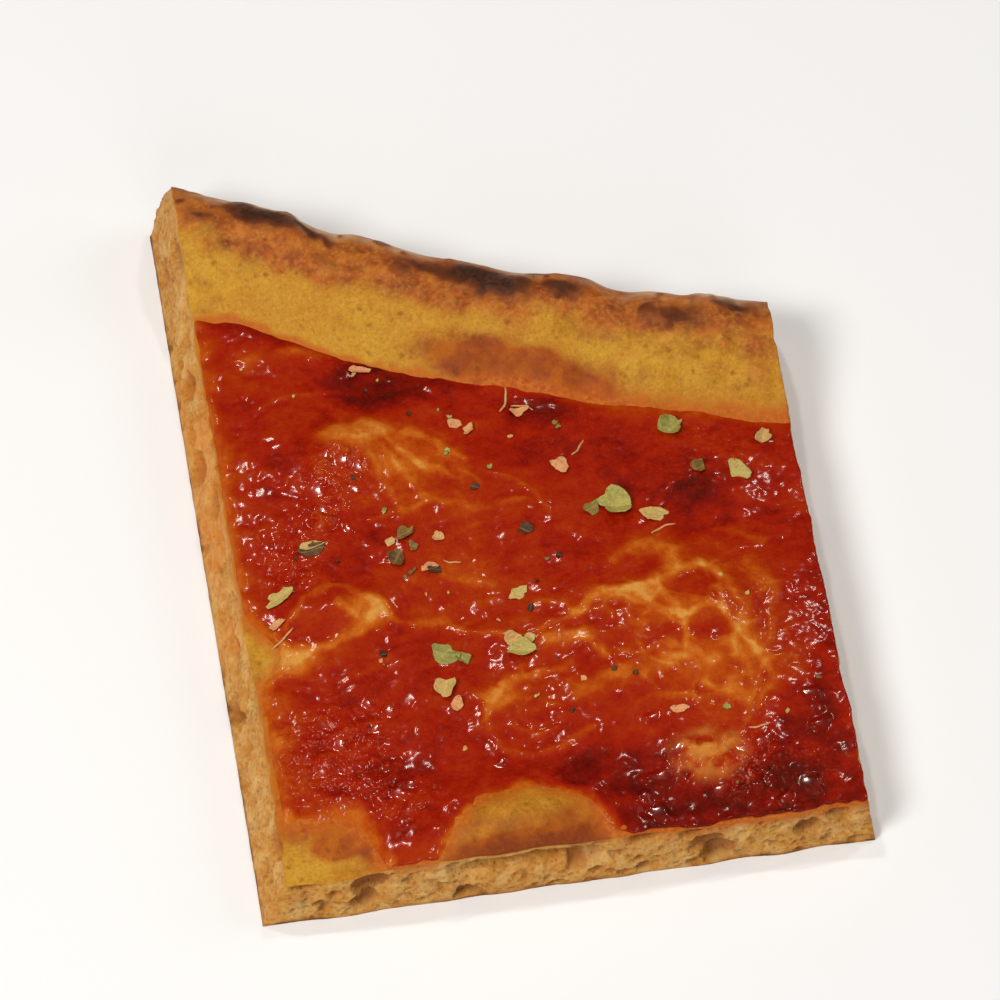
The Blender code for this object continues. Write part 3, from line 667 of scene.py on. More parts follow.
def sauce_top(x, y, film, grain):
    """Height of the sauce's upper side."""
    depth = sauce_depth(x, y) + 0.6 * np.clip(film - FILM_BASE, -0.4, 0.3)
    rough = (0.03 + 0.66 * smoothstep(0.2, 1.0, grain)) * lumps(x, y)
    rough = rough + 0.4 * smoothstep(0.55, 1.0, grain) * pulp(x, y, 3.2, 111)
    calm = np.maximum(0.55 * smoothstep(*CALM_RIGHT_X, x), patch_sum([CALM_PATCH], x, y))
    rough = rough + 0.12 * (1.0 - calm) * flat_noise(x, y, 3.2, 151, 2)
    height = bread_top(x, y) - 0.2 + (depth + rough + 0.2) * sauce_feather(x, y)
    return lay_facets(x, y, height)


def facet_heights():
    """Height of the smooth sauce at each facet's middle."""
    x, y = np.array([(facet.x, facet.y) for facet in FACETS]).T
    return bread_top(x, y) + sauce_depth(x, y) + FACET_STAND


FACET_HEIGHTS = facet_heights()


def facet_away(number, dx, dy):
    """Distance from a facet's middle in shares of its uneven oval outline."""
    along, across = turned(dx, dy, -FACET_TURN * number)
    wobble = 1.0 + FACET_WOBBLE * np.sin(3.0 * np.arctan2(across, along) + number)
    return wobble * np.hypot(along / FACET_LONG, across / FACET_SHORT) / FACETS[number].radius


def facet_share(x, y):
    """1 on the smooth wet facets, 0 beside them."""
    away = np.full(x.shape, 9.0)
    for number, facet in enumerate(FACETS):
        away = np.minimum(away, facet_away(number, x - facet.x, y - facet.y))
    return 1.0 - smoothstep(0.5, 1.0, away)


def lay_facets(x, y, height):
    """Press the smooth facets into the sauce's top."""
    for number, (facet, middle) in enumerate(zip(FACETS, FACET_HEIGHTS)):
        dx, dy = x - facet.x, y - facet.y
        away = facet_away(number, dx, dy)
        close = away < 1.6
        slope_x, slope_y = FACET_SLOPES[facet.lean]
        plane = middle + slope_x * dx[close] + slope_y * dy[close]
        plane = plane - FACET_CURVE * (dx[close] ** 2 + dy[close] ** 2)
        share = 1.0 - smoothstep(0.75, 1.5, away[close])
        height[close] += (plane - height[close]) * share
    return height


# Meshes


def ring_faces(upper, lower):
    """Triangles between two rings of vertex numbers, the upper one inside or above."""
    u, l = np.asarray(upper), np.asarray(lower)
    un, ln = np.roll(u, -1), np.roll(l, -1)
    return np.concatenate((np.stack((l, ln, un), 1), np.stack((l, un, u), 1)))


def grid_faces(rows, columns):
    """Triangles of a grid of vertex numbers, facing up."""
    index = np.arange(rows * columns).reshape(rows, columns)
    a, b = index[:-1, :-1].ravel(), index[:-1, 1:].ravel()
    c, d = index[1:, 1:].ravel(), index[1:, :-1].ravel()
    return np.concatenate((np.stack((a, b, c), 1), np.stack((a, c, d), 1)))


def border_path(rows, columns):
    """Vertex numbers once round a grid, with flags for the front, right, back and left sides."""
    index = np.arange(rows * columns).reshape(rows, columns)
    path = np.concatenate((index[0, :-1], index[:-1, -1], index[-1, :0:-1], index[:0:-1, 0]))
    row, column = np.divmod(path, columns)
    sides = {"front": row == 0, "right": column == columns - 1, "back": row == rows - 1, "left": column == 0}
    return path, sides


class Skin:
    """A closed mesh that starts as a grid and grows ring by ring from the grid's border.

    Each block holds one row for each point: its place, then the numbers that its colour needs.
    """

    def __init__(self, grid, rows, columns):
        self.blocks = [grid]
        self.faces = [grid_faces(rows, columns)]
        self.last, self.sides = border_path(rows, columns)
        self.count = len(grid)

    def add_ring(self, block):
        """Join a ring to the one above it."""
        ring = self.count + np.arange(len(block))
        self.blocks.append(block)
        self.faces.append(ring_faces(self.last, ring))
        self.last = ring
        self.count += len(block)

    def close(self, block):
        """Join the last ring to a single point."""
        tip = np.full(len(self.last), self.count)
        self.blocks.append(block)
        self.faces.append(np.stack((np.roll(self.last, -1), self.last, tip), 1))

    def rows(self):
        """All the rows, a column at a time."""
        return np.concatenate(self.blocks).T


def point_rows(*columns):
    """One row for each point from numbers or arrays."""
    return np.column_stack(np.broadcast_arrays(*columns))


# Y where the rows along the sauce would start if they weren't drawn to its front edge
FRONT_RELAX_Y = 6.0
LEFT_SEED, RIGHT_SEED = 421, 431


def plan_grid(steps, rows, setback, drape, spread):
    """Plan positions as rows and columns that keep to the sauce's edges.

    The steps are those left of the sauce, across it and right of it,
    and the rows those in front of it, along it and on the rim.
    """
    across = np.concatenate((np.zeros(steps[0]), np.linspace(0.0, 1.0, steps[1]), np.ones(steps[2])))
    plan_x = FRONT_LEFT_X + (FRONT_RIGHT_X - FRONT_LEFT_X) * across
    front, start = front_edge(plan_x), soft_front(plan_x)
    flush = 1.0 - smoothstep(0.2, 1.2, start - front - SAUCE_SETBACK)
    hang = smoothstep(-0.2, 0.35, flat_noise(plan_x, 0.0, 2.6, 411, 2))
    start = start - drape * flush * (0.25 + 0.75 * hang) - spread * (1.0 - flush)
    start = np.maximum(start, front + 0.2 * (1.0 - flush) - 0.8 * flush)
    end, outer = sauce_back(plan_x), rim_outer(plan_x) - RIM_TOP_INSET
    front_t = np.linspace(0.0, 1.0, rows[0], endpoint=False)[:, None]
    t = np.linspace(0.0, 1.0, rows[1])[:, None]
    rim_t = np.linspace(0.0, 1.0, rows[2] + 1)[1:, None]
    relax = 1.0 - smoothstep(0.0, 0.3, t)
    along_sauce = FRONT_RELAX_Y + (end - FRONT_RELAX_Y) * t + (start - FRONT_RELAX_Y) * relax
    y = np.concatenate((front + (start - front) * front_t, along_sauce, end + (outer - end) * rim_t))
    left = cut_x(y, FRONT_LEFT_X, BACK_LEFT_X) + ragged(y, LEFT_SEED)
    right = cut_x(y, FRONT_RIGHT_X, BACK_RIGHT_X) - 0.8 * ragged(y, RIGHT_SEED)
    inner_left = cut_x(y, FRONT_LEFT_X, BACK_LEFT_X) + 0.4 + left_bare(y) - 0.6 * spread
    inner_left = np.maximum(inner_left, left + 0.2)
    inner_right = right - setback
    x = inner_left + (inner_right - inner_left) * across
    at_left, at_right = slice(0, steps[0]), slice(steps[0] + steps[1], None)
    left_t = np.linspace(0.0, 1.0, steps[0], endpoint=False)
    x[:, at_left] = left[:, at_left] + (inner_left - left)[:, at_left] * left_t
    x[:, at_right] = inner_right[:, at_right] + setback * np.linspace(0.0, 1.0, steps[2] + 1)[1:]
    return x, y


def make_mesh(name, points, faces, values):
    """An object in metres about the slice's centre, with named values at its vertices."""
    mesh = bpy.data.meshes.new(name)
    mesh.from_pydata(((points - CENTRE) * MM).tolist(), [], faces.tolist())
    for key, numbers in values.items():
        attribute = mesh.attributes.new(key, "FLOAT", "POINT")
        attribute.data.foreach_set("value", np.asarray(numbers, np.float32))
    mesh.shade_smooth()
    obj = bpy.data.objects.new(name, mesh)
    bpy.context.scene.collection.objects.link(obj)
    return obj


# Bread


BREAD_STEPS = (8, 225, 3)
BREAD_ROWS = (26, 190, 64)
SIDE_ROWS = 34
TOP_KIND, SIDE_KIND, UNDERSIDE_KIND = 0.0, 1.0, 2.0

# The underside counts as far from the rim's outer line and outside the sauce
FLOOR_INSET, FLOOR_REACH = 50.0, -5.0
FLOOR_RINGS = (0.985, 0.96, 0.92, 0.86, 0.78, 0.68, 0.56, 0.42, 0.26, 0.1)
HIDDEN_REACH = 5.6


def pore_depth(x, y, z):
    """Depth of the crumb's round pores where a cut has opened them."""
    depth = np.zeros(x.shape)
    for size, seed, share in ((6.5, 201, 0.42), (3.0, 211, 0.55), (1.5, 221, 0.5)):
        near, _, number = cells(x, y, z * 1.25, size, seed)
        radius = 0.16 + 0.34 * number
        opened = np.sqrt(np.clip(radius**2 - near**2, 0.0, None)) * (number > 1.0 - share)
        depth = np.maximum(depth, opened * size * 0.8)
    return depth


def add_sides(skin):
    """The cuts with their crumb, and the rim's rounded outer side."""
    x, y, z, _, _, _, inset, reach = skin.blocks[0][skin.last].T
    sides = skin.sides
    on_cut = sides["front"] | sides["right"] | sides["left"]
    near_back = smoothstep(7.0, 0.0, rim_outer(x) - RIM_TOP_INSET - y)
    low_rim = smoothstep(5.0, 12.0, z) * smoothstep(RIM_WIDTH_LEFT, RIM_WIDTH_LEFT - 8.0, inset)
    for row in range(1, SIDE_ROWS + 1):
        share = row / SIDE_ROWS
        arch = math.sin(math.pi * share)
        side_z = z * (1.0 - share)
        bulge = RIM_BULGE * math.sin(math.pi * min(share / 0.9, 1.0))
        tuck = RIM_TUCK * float(smoothstep(0.6, 1.0, share))
        knobbly = 0.35 * fractal(x, 0.0, side_z, 5.0, 441) * arch
        side_y = y + (bulge - tuck + knobbly - 0.15) * near_back
        fade = smoothstep(0.0, 0.14 + 0.16 * low_rim, share) * smoothstep(1.0, 0.9, share)
        fade = fade * (1.0 - 0.35 * low_rim)
        rough = 0.12 * fractal(x, side_y, side_z, 1.4, 241, 2)
        rough = rough + 0.07 * fractal(x, side_y, side_z, 0.5, 251, 2)
        depth = pore_depth(x, side_y, side_z) * fade * on_cut
        inward = depth - rough * (0.3 + 0.7 * fade) * on_cut
        relief = CRUMB_RELIEF * ripple(x, y, CRUMB_SIZE, CRUMB_SIZE * share) * arch
        slit = SLIT_DEPTH * blister_opening(x) * math.exp(-(((share - SLIT_LEVEL) / SLIT_HALF_HEIGHT) ** 2))
        foot = float(smoothstep(0.0, 1.0, share))
        right = RIGHT_SLANT * share + relief + 0.7 * foot * ragged(y, RIGHT_SEED) - inward
        left = LEFT_SLANT * share + relief + 0.9 * foot * ragged(y, LEFT_SEED) - inward
        front = FRONT_SLANT * share + relief - slit - inward
        side_x = x + sides["right"] * right - sides["left"] * left
        side_y = side_y - sides["front"] * front
        kind = np.where(on_cut, SIDE_KIND, TOP_KIND)
        side_inset = np.where(sides["back"], -6.0 * share, inset)
        skin.add_ring(point_rows(side_x, side_y, side_z, kind, share, depth, side_inset, reach))


def add_underside(skin):
    """The flat underside, as rings that shrink to one point."""
    foot = skin.blocks[-1][:, :3]
    middle = foot.mean(axis=0)
    hidden = (UNDERSIDE_KIND, 1.0, 0.0, FLOOR_INSET, FLOOR_REACH)
    for scale in FLOOR_RINGS:
        skin.add_ring(point_rows(*(middle + (foot - middle) * scale).T, *hidden))
    skin.close(point_rows(*middle, *hidden))


def make_bread():
    """The bread: relief on top, crumb at the cuts, a rounded rim, and a flat underside.

    A point's row holds its place, its kind, its share of the way down a side, the depth of a pore,
    and its distances in from the rim's outer line and from the sauce's edge.
    """
    x, y = plan_grid(BREAD_STEPS, BREAD_ROWS, SAUCE_SETBACK, drape=0.0, spread=0.0)
    shape = x.shape
    x, y = x.ravel(), y.ravel()
    columns = (x, y, bread_top(x, y), TOP_KIND, 0.0, 0.0, rim_outer(x) - y, sauce_reach(x, y))
    skin = Skin(point_rows(*columns), *shape)
    add_sides(skin)
    add_underside(skin)
    rows = skin.rows()
    bread = make_mesh("pizza_bread", rows[:3].T, np.concatenate(skin.faces), bread_values(*rows))
    thin_hidden_top(bread, kind=rows[3], reach=rows[7])
    return bread


def scorch_mask(x, y, z, inset, blister):
    """How burnt the rim is, from 0 to a little over 1."""
    wx = x + 2.4 * fractal(x, y, z, 4.0, 321)
    wi = inset + 1.6 * fractal(x, y, z, 2.6, 331)
    char = np.zeros(len(x))
    for spot in SCORCHES:
        away = np.hypot((wx - spot.x) / spot.radius_x, (wi - spot.inset) / spot.radius_inset)
        char = np.maximum(char, spot.amount * (1.0 - smoothstep(0.0, 1.6, away)))
    char = np.maximum(char, 0.45 * smoothstep(0.35, 0.8, blister) * smoothstep(*CHAR_INSET, inset))
    return np.maximum(char, patch_sum([FOOT_SINGE], wx, y))


def orange_mask(x, y, z, inset, reach, wander):
    """How orange the baked surface is, from about 0 to over 1."""
    orange = smoothstep(*ORANGE_FRONT_Y, y + 1.2 * wander) * (0.75 + 0.4 * fractal(x, y, z, 5.0, 345))
    for sway_x, sway_y, patch in ORANGE_PATCHES:
        orange += patch_sum([patch], x + sway_x * wander, y + sway_y * wander)
    in_corner = (y < CORNER_BACK_Y) * (x < CORNER_RIGHT_X)
    orange += 0.5 * smoothstep(-3.6, -0.6, reach + 0.6 * wander) * in_corner
    left = smoothstep(*ORANGE_LEFT_TO_Y, y) * smoothstep(*ORANGE_LEFT_FROM_Y, y)
    right = smoothstep(*ORANGE_RIGHT_X, x + wander) * smoothstep(*ORANGE_RIGHT_Y, y)
    orange += 0.5 * left * smoothstep(*ORANGE_LEFT_X, x)
    return orange + 0.5 * right * smoothstep(*ORANGE_RIGHT_INSET, inset)


def bread_values(x, y, z, kind, share, pore, inset, reach):
    """Values from 0 to 1 that steer the bread's colours."""
    on_top, on_side = kind == TOP_KIND, kind == SIDE_KIND
    wander = 3.4 * fractal(x, y, z, 9.0, 301)
    brown = smoothstep(*BROWN_INSET, inset + wander) * on_top
    brown = brown + 0.5 * fractal(x, y, z, 4.5, 311) * smoothstep(0.1, 0.6, brown)
    streak = fractal(0.35 * x + 0.16 * y, y + 0.45 * x, z, 3.4, 313)
    brown = np.clip(brown + 0.28 * streak * smoothstep(*STREAK_INSET, inset) * on_top, 0.0, 1.0)
    on_rim = smoothstep(*BLISTER_INNER_INSET, inset) * smoothstep(*BLISTER_OUTER_INSET, inset)
    blister = dough_blisters(x, y) * on_top * on_rim
    char = scorch_mask(x, y, z, inset, blister) * on_top
    lip = smoothstep(*FLOUR_INNER_INSET, inset + 0.4 * wander)
    lip = lip * smoothstep(*FLOUR_OUTER_INSET, inset + 0.9 * wander)
    flour = lip * (1.0 - np.clip(char * 1.4, 0.0, 1.0)) * on_top
    # The blister's front roll is painted orange, and dark brown in the bread's paint: painted shade where it
    # turns down to its slit
    roll = blister_roll(x, y) * on_top
    orange = orange_mask(x, y, z, inset, reach, wander) + 0.6 * smoothstep(0.1, 0.5, roll)
    soaked = smoothstep(*SOAKED_FROM_Y, y) * smoothstep(*SOAKED_TO_Y, y) * (x < 0.0)
    soaked = soaked * np.clip(0.7 + 1.2 * fractal(x, y, z, 9.0, 355), 0.0, 1.3)
    width = 3.4 - 2.2 * smoothstep(*STAIN_INSET, inset) * smoothstep(*STAIN_X, x)
    stain = smoothstep(-width, 0.3, reach + 1.6 * fractal(x, y, z, 2.6, 351)) * on_top
    flush = on_side * (y < FLUSH_BACK_Y) * smoothstep(-2.0, 0.8, reach)
    drip = smoothstep(0.28, 0.0, share + 0.14 * fractal(x, y, z, 1.8, 361))
    return {
        "brown": np.clip(brown + 0.40 * blister, 0.0, 1.0),
        "char": np.clip(char, 0.0, 1.0),
        "flour": flour * smoothstep(-0.40, 0.55, fractal(x + 0.7 * z, y, 1.8 * z, 6.0, 341)),
        "orange": np.where(on_top, np.clip(orange, 0.0, 1.0), 0.6 * soaked),
        "roll": smoothstep(0.25, 0.95, roll),
        "crumb": on_side * smoothstep(0.0, 0.10, share) * smoothstep(1.0, 0.93, share),
        # How deep a cut pore is; the paint darkens the crumb there as painted shade
        "pore": np.clip(pore / 1.6, 0.0, 1.0),
        "stain": np.clip(np.maximum(stain, drip * flush * 0.9), 0.0, 1.0),
        "under": (kind == UNDERSIDE_KIND) * 1.0 + on_side * smoothstep(0.90, 0.99, share),
    }


def thin_hidden_top(bread, kind, reach):
    """Drop most of the faces that the sauce covers."""
    hidden = np.nonzero((kind == TOP_KIND) & (reach > HIDDEN_REACH))[0]
    group = bread.vertex_groups.new(name="hidden")
    group.add(hidden.tolist(), 1.0, "REPLACE")
    thin = bread.modifiers.new("thin", "DECIMATE")
    thin.vertex_group = group.name
    thin.ratio = 1.0 - 0.9 * 2.0 * len(hidden) / len(bread.data.polygons)
    depsgraph = bpy.context.evaluated_depsgraph_get()
    mesh = bpy.data.meshes.new_from_object(bread.evaluated_get(depsgraph))
    bread.modifiers.clear()
    bread.vertex_groups.clear()
    bread.data = mesh


# Sauce


SAUCE_STEPS = (0, 285, 0)
SAUCE_ROWS = (0, 285, 0)
CUT_SETBACK = 0.05
SKIRT_DROP, LOWER_SIDE_DROP = 0.7, 1.0
SAUCE_RINGS = (0.97, 0.85, 0.5)
SAUCE_VALUES = ("film", "grain", "lump", "crumbly", "facet")

# Those values where the sauce is out of sight
HIDDEN_SAUCE = (0.3, 0.0, 0.0, 0.0, 0.0)


def make_sauce():
    """The sauce: one closed skin that follows the dough and feathers out over it."""
    x, y = plan_grid(SAUCE_STEPS, SAUCE_ROWS, CUT_SETBACK, drape=0.7 * SAUCE_SETBACK, spread=1.8)
    shape = x.shape
    x, y = x.ravel(), y.ravel()
    film, grain = film_mask(x, y), grain_mask(x, y)
    values = (film, grain, lumps(x, y) * (0.25 + 0.75 * grain), crumbly_mask(x, y), facet_share(x, y))
    skin = Skin(point_rows(x, y, sauce_top(x, y, film, grain), *values), *shape)
    edge_x, edge_y, edge_z = skin.blocks[0][skin.last, :3].T
    drop = SKIRT_DROP + 0.5 * flat_noise(edge_x, edge_y, 2.2, 401, 2)
    skirt_z = np.minimum(edge_z - 0.05, bread_top(edge_x, edge_y) - drop)
    skin.add_ring(point_rows(edge_x, edge_y, skirt_z, *HIDDEN_SAUCE))
    middle_x, middle_y = x.mean(keepdims=True), y.mean(keepdims=True)
    for scale in SAUCE_RINGS:
        x = middle_x + (edge_x - middle_x) * scale
        y = middle_y + (edge_y - middle_y) * scale
        skin.add_ring(point_rows(x, y, bread_top(x, y) - LOWER_SIDE_DROP, *HIDDEN_SAUCE))
    middle_z = bread_top(middle_x, middle_y) - LOWER_SIDE_DROP
    skin.close(point_rows(middle_x, middle_y, middle_z, *HIDDEN_SAUCE))
    rows = skin.rows()
    values = dict(zip(SAUCE_VALUES, rows[3:]))
    return make_mesh("pizza_sauce", rows[:3].T, np.concatenate(skin.faces), values)


# Oregano


LEAF_SPOKES = 22
LEAF_RINGS = (0.3, 0.55, 0.78, 0.93, 1.0)
LEAF_THICKNESS = 0.11
DRAW_SEED = 5
SCRAP_COUNT = 46
SCRAP_X, SCRAP_Y = (FRONT_LEFT_X + 4.0, FRONT_RIGHT_X - 3.0), (6.0, 98.0)
SCRAP_REACH = 2.5
SCRAP_LENGTH, SCRAP_SLIMNESS = (0.5, 1.5), (0.4, 0.9)
SCRAP_TONES = (0.1, 0.3, 0.6, 0.9)
STEM_SIDES = 6
STEM_STEPS = 9
STEMS = table(
    Stem,
    (2, 79.6, 4.6, 1.25, 0.5, 0.42, 0.92), (4.6, 78, 3.6, -0.35, -0.4, 0.36, 0.95),
    (-38.2, 42.6, 4.4, 0.62, 0.3, 0.4, 0.95), (12, 68.8, 3.2, 0.85, 0.2, 0.32, 0.9),
    (22.6, 52.4, 4.2, 0.35, -0.3, 0.36, 0.95), (-10.6, 51.6, 2.8, -0.2, 0.2, 0.32, 0.92),
    (31, 16.2, 3, 0.1, 0.2, 0.36, 0.98),
)


def leaf_flake(leaf, draw):
    """One dried leaf fragment: plan positions and lift of a ragged, curled flake, centre first."""
    angle = np.linspace(0.0, 2.0 * math.pi, LEAF_SPOKES, endpoint=False)
    jag = draw.standard_normal(LEAF_SPOKES)
    jag = 1.0 + 0.12 * jag + 0.08 * (np.roll(jag, 1) + np.roll(jag, -1))
    point = draw.uniform(0.0, 0.35)
    along = np.cos(angle) * jag
    across = np.sin(angle) * jag * (1.0 - point * np.cos(angle))
    for sign in (1.0, -1.0):
        slant = draw.uniform(-0.5, 0.5)
        limit = draw.uniform(0.55, 1.15)
        over = np.maximum(sign * along + slant * across - limit, 0.0)
        along = along - sign * over
    rings = np.concatenate(([0.0], np.repeat(LEAF_RINGS, LEAF_SPOKES)))
    along = 0.5 * leaf.length * np.concatenate(([0.0], np.tile(along, len(LEAF_RINGS)))) * rings
    across = 0.5 * leaf.width * np.concatenate(([0.0], np.tile(across, len(LEAF_RINGS)))) * rings
    turned_x, turned_y = turned(along, across, leaf.turn)
    x, y = leaf.x + turned_x, leaf.y + turned_y
    fold = draw.uniform(-0.10, 0.45) * leaf.width
    curl = draw.uniform(-0.05, 0.22) * leaf.length
    t = 2.0 * across / leaf.width
    s = 2.0 * along / leaf.length
    lift = fold * np.abs(t) ** 1.3 + curl * s**2 + draw.uniform(-0.07, 0.07) * leaf.width * t
    lift = lift + 0.34 * fractal(x, y, 7.0 * leaf.tone, 1.3, 171)
    lift = lift + 0.07 * draw.standard_normal(len(x)) * (rings > 0.9)
    return x, y, lift, np.abs(t), rings


def resting_height(x, y):
    """Height of the sauce's top under a small piece, as a tilted plane just above its lumps."""
    base = sauce_top(x, y, film_mask(x, y), grain_mask(x, y))
    slopes = point_rows(x, y, 1.0)
    plane = slopes @ np.linalg.lstsq(slopes, base, rcond=None)[0]
    return plane + 0.75 * float(np.max(base - plane))


def flake_faces():
    """Triangles of a flake's upper face, facing up."""
    spokes = np.arange(LEAF_SPOKES)
    faces = [np.stack((np.zeros(LEAF_SPOKES, int), 1 + spokes, 1 + (spokes + 1) % LEAF_SPOKES), 1)]
    for ring in range(1, len(LEAF_RINGS)):
        inner = 1 + (ring - 1) * LEAF_SPOKES + spokes
        faces.append(ring_faces(inner, inner + LEAF_SPOKES))
    return np.concatenate(faces)


def make_flakes(leaves, draw):
    """Points, triangles, tones and rib values of the leaves."""
    upper_faces = flake_faces()
    size = 1 + len(LEAF_RINGS) * LEAF_SPOKES
    rim = 1 + (len(LEAF_RINGS) - 1) * LEAF_SPOKES + np.arange(LEAF_SPOKES)
    points, faces, tones, ribs = [], [], [], []
    for number, leaf in enumerate(leaves):
        x, y, lift, rib, rings = leaf_flake(leaf, draw)
        z = resting_height(x, y) + np.maximum(lift, -0.10) + 0.10
        thick = LEAF_THICKNESS * (1.0 - 0.5 * (rings > 0.95))
        upper = point_rows(x, y, z)
        first = 2 * size * number
        points.extend((upper, upper - point_rows(0.0, 0.0, thick)))
        faces.append(upper_faces + first)
        faces.append(upper_faces[:, ::-1] + first + size)
        faces.append(ring_faces(rim + first, rim + first + size))
        tones.append(np.full(2 * size, leaf.tone + 0.04 * draw.standard_normal()))
        ribs.append(np.concatenate((rib, rib)))
    return [np.concatenate(parts) for parts in (points, faces, tones, ribs)]


def make_stems(first):
    """Points, triangles, tones and rib values of the stems, numbered on from the leaves."""
    points, faces, tones = [], [], []
    turn = np.linspace(0.0, 2.0 * math.pi, STEM_SIDES, endpoint=False)[:, None]
    t = np.linspace(-1.0, 1.0, STEM_STEPS)
    size = STEM_STEPS * STEM_SIDES
    for stem in STEMS:
        bow = stem.bend * (t**2 - 0.4) + 0.08 * np.sin(5.0 * t)
        turned_x, turned_y = turned(0.5 * stem.length * t, bow, stem.turn)
        x, y = stem.x + turned_x, stem.y + turned_y
        line = point_rows(x, y, resting_height(x, y) + 0.25 * stem.thickness)
        radius = 0.5 * stem.thickness * (1.0 - 0.35 * np.abs(t) ** 3)
        side = np.array((-math.sin(stem.turn), math.cos(stem.turn), 0.0))
        ring = np.cos(turn) * side + np.sin(turn) * np.array((0.0, 0.0, 1.0))
        tube = line[:, None] + radius[:, None, None] * ring
        points.extend((tube.reshape(-1, 3), line[[0, -1]]))
        rings = first + np.arange(size).reshape(STEM_STEPS, STEM_SIDES)
        for lower, upper in zip(rings[:-1], rings[1:]):
            faces.append(ring_faces(upper, lower))
        for end, edge in enumerate((rings[0], rings[-1, ::-1])):
            tip = np.full(STEM_SIDES, first + size + end)
            faces.append(np.stack((edge, tip, np.roll(edge, -1)), 1))
        first += size + 2
        tones.append(np.full(size + 2, stem.tone))
    tones = np.concatenate(tones)
    return np.concatenate(points), np.concatenate(faces), tones, np.ones(len(tones))


def make_oregano():
    """All the oregano: the leaves that show, stems, and a dusting of small scraps."""
    draw = np.random.default_rng(DRAW_SEED)
    leaves = list(LEAVES)
    while len(leaves) < len(LEAVES) + SCRAP_COUNT:
        x = draw.uniform(*SCRAP_X)
        y = draw.uniform(*SCRAP_Y)
        if float(sauce_reach(np.array([x]), np.array([y]))[0]) < SCRAP_REACH:
            continue
        length = draw.uniform(*SCRAP_LENGTH)
        width = length * draw.uniform(*SCRAP_SLIMNESS)
        leaves.append(Leaf(x, y, length, width, draw.uniform(-1.6, 1.6), draw.choice(SCRAP_TONES)))
    flakes = make_flakes(leaves, draw)
    stems = make_stems(len(flakes[0]))
    points, faces, tones, ribs = (np.concatenate(pair) for pair in zip(flakes, stems))
    values = {"tone": np.clip(tones, 0.0, 1.0), "rib": ribs}
    return make_mesh("oregano_leaves", points, faces, values)


# Materials


def tone(red, green, blue):
    """A colour given as 0 to 255 on screen, as the shader's linear numbers."""
    linear = []
    for value in (red, green, blue):
        c = value / 255.0
        linear.append(c / 12.92 if c <= 0.04045 else ((c + 0.055) / 1.055) ** 2.4)
    return (*linear, 1.0)


class Paint:
    """A Principled material and short ways to add nodes to it."""

    def __init__(self, name):
        self.material = bpy.data.materials.new(name)
        self.material.use_nodes = True
        self.tree = self.material.node_tree
        self.shader = self.tree.nodes["Principled BSDF"]
        self.place = self.add("TexCoord")["Object"]

    def feed(self, socket, value):
        """Connect an output to an input, or set the input's own number or colour."""
        if isinstance(value, bpy.types.NodeSocket):
            self.tree.links.new(value, socket)
        else:
            socket.default_value = value

    def add(self, kind, inputs=(), **settings):
        """The outputs of a new node, its inputs given by place or name."""
        node = self.tree.nodes.new("ShaderNode" + kind)
        for name, value in settings.items():
            setattr(node, name, value)
        for key, value in dict(inputs).items():
            self.feed(node.inputs[key], value)
        return node.outputs

    def set(self, **sockets):
        """Set the shader's inputs, named with underscores for spaces."""
        for name, value in sockets.items():
            self.feed(self.shader.inputs[name.replace("_", " ")], value)

    def value(self, name):
        """A named value kept at the vertices."""
        return self.add("Attribute", attribute_name=name)["Fac"]

    def noise(self, size, detail, rough, warp=0.0):
        """Noise with features of the given size in millimetres."""
        inputs = {"Vector": self.place, "Scale": 1.0 / (size * MM), "Detail": detail}
        return self.add("TexNoise", {**inputs, "Roughness": rough, "Distortion": warp})["Fac"]

    def pits(self, size):
        """1 in the middle of small scattered pits, 0 between them."""
        outputs = self.add("TexVoronoi", {"Vector": self.place, "Scale": 1.0 / (size * MM)})
        return self.spread(outputs["Distance"], 0.12, 0.42, 1.0, 0.0)

    def math(self, operation, *numbers, clamp=False):
        """A sum, product or other operation on numbers."""
        return self.add("Math", enumerate(numbers), operation=operation, use_clamp=clamp)[0]

    def plus(self, first, second, clamp=False):
        """The sum of two numbers."""
        return self.math("ADD", first, second, clamp=clamp)

    def times(self, first, second, more=0.0):
        """The product of two numbers, and something more."""
        return self.math("MULTIPLY_ADD", first, second, more)

    def spread(self, value, low, high, to_low=0.0, to_high=1.0):
        """Stretch a number from one range to another, held at its ends."""
        return self.add("MapRange", enumerate((value, low, high, to_low, to_high)))["Result"]

    def mix(self, share, first, second):
        """Blend two colours, each an output or three numbers from 0 to 255."""
        first, second = (tone(*c) if isinstance(c, tuple) else c for c in (first, second))
        return self.add("Mix", {0: share, 6: first, 7: second}, data_type="RGBA")[2]

    def ramp(self, value, *stops):
        """A colour for each value, eased between stops of a place, red, green and blue."""
        outputs = self.add("ValToRGB", {"Fac": value})
        elements = outputs["Color"].node.color_ramp.elements
        while len(elements) < len(stops):
            elements.new(0.5)
        for element, (place, *colour) in zip(elements, stops):
            element.position = place
            element.color = tone(*colour)
        return outputs["Color"]

    def bump(self, height, depth, strength):
        """Relief finer than the mesh, its depth in millimetres."""
        return self.add("Bump", {"Strength": strength, "Distance": depth * MM, "Height": height})["Normal"]


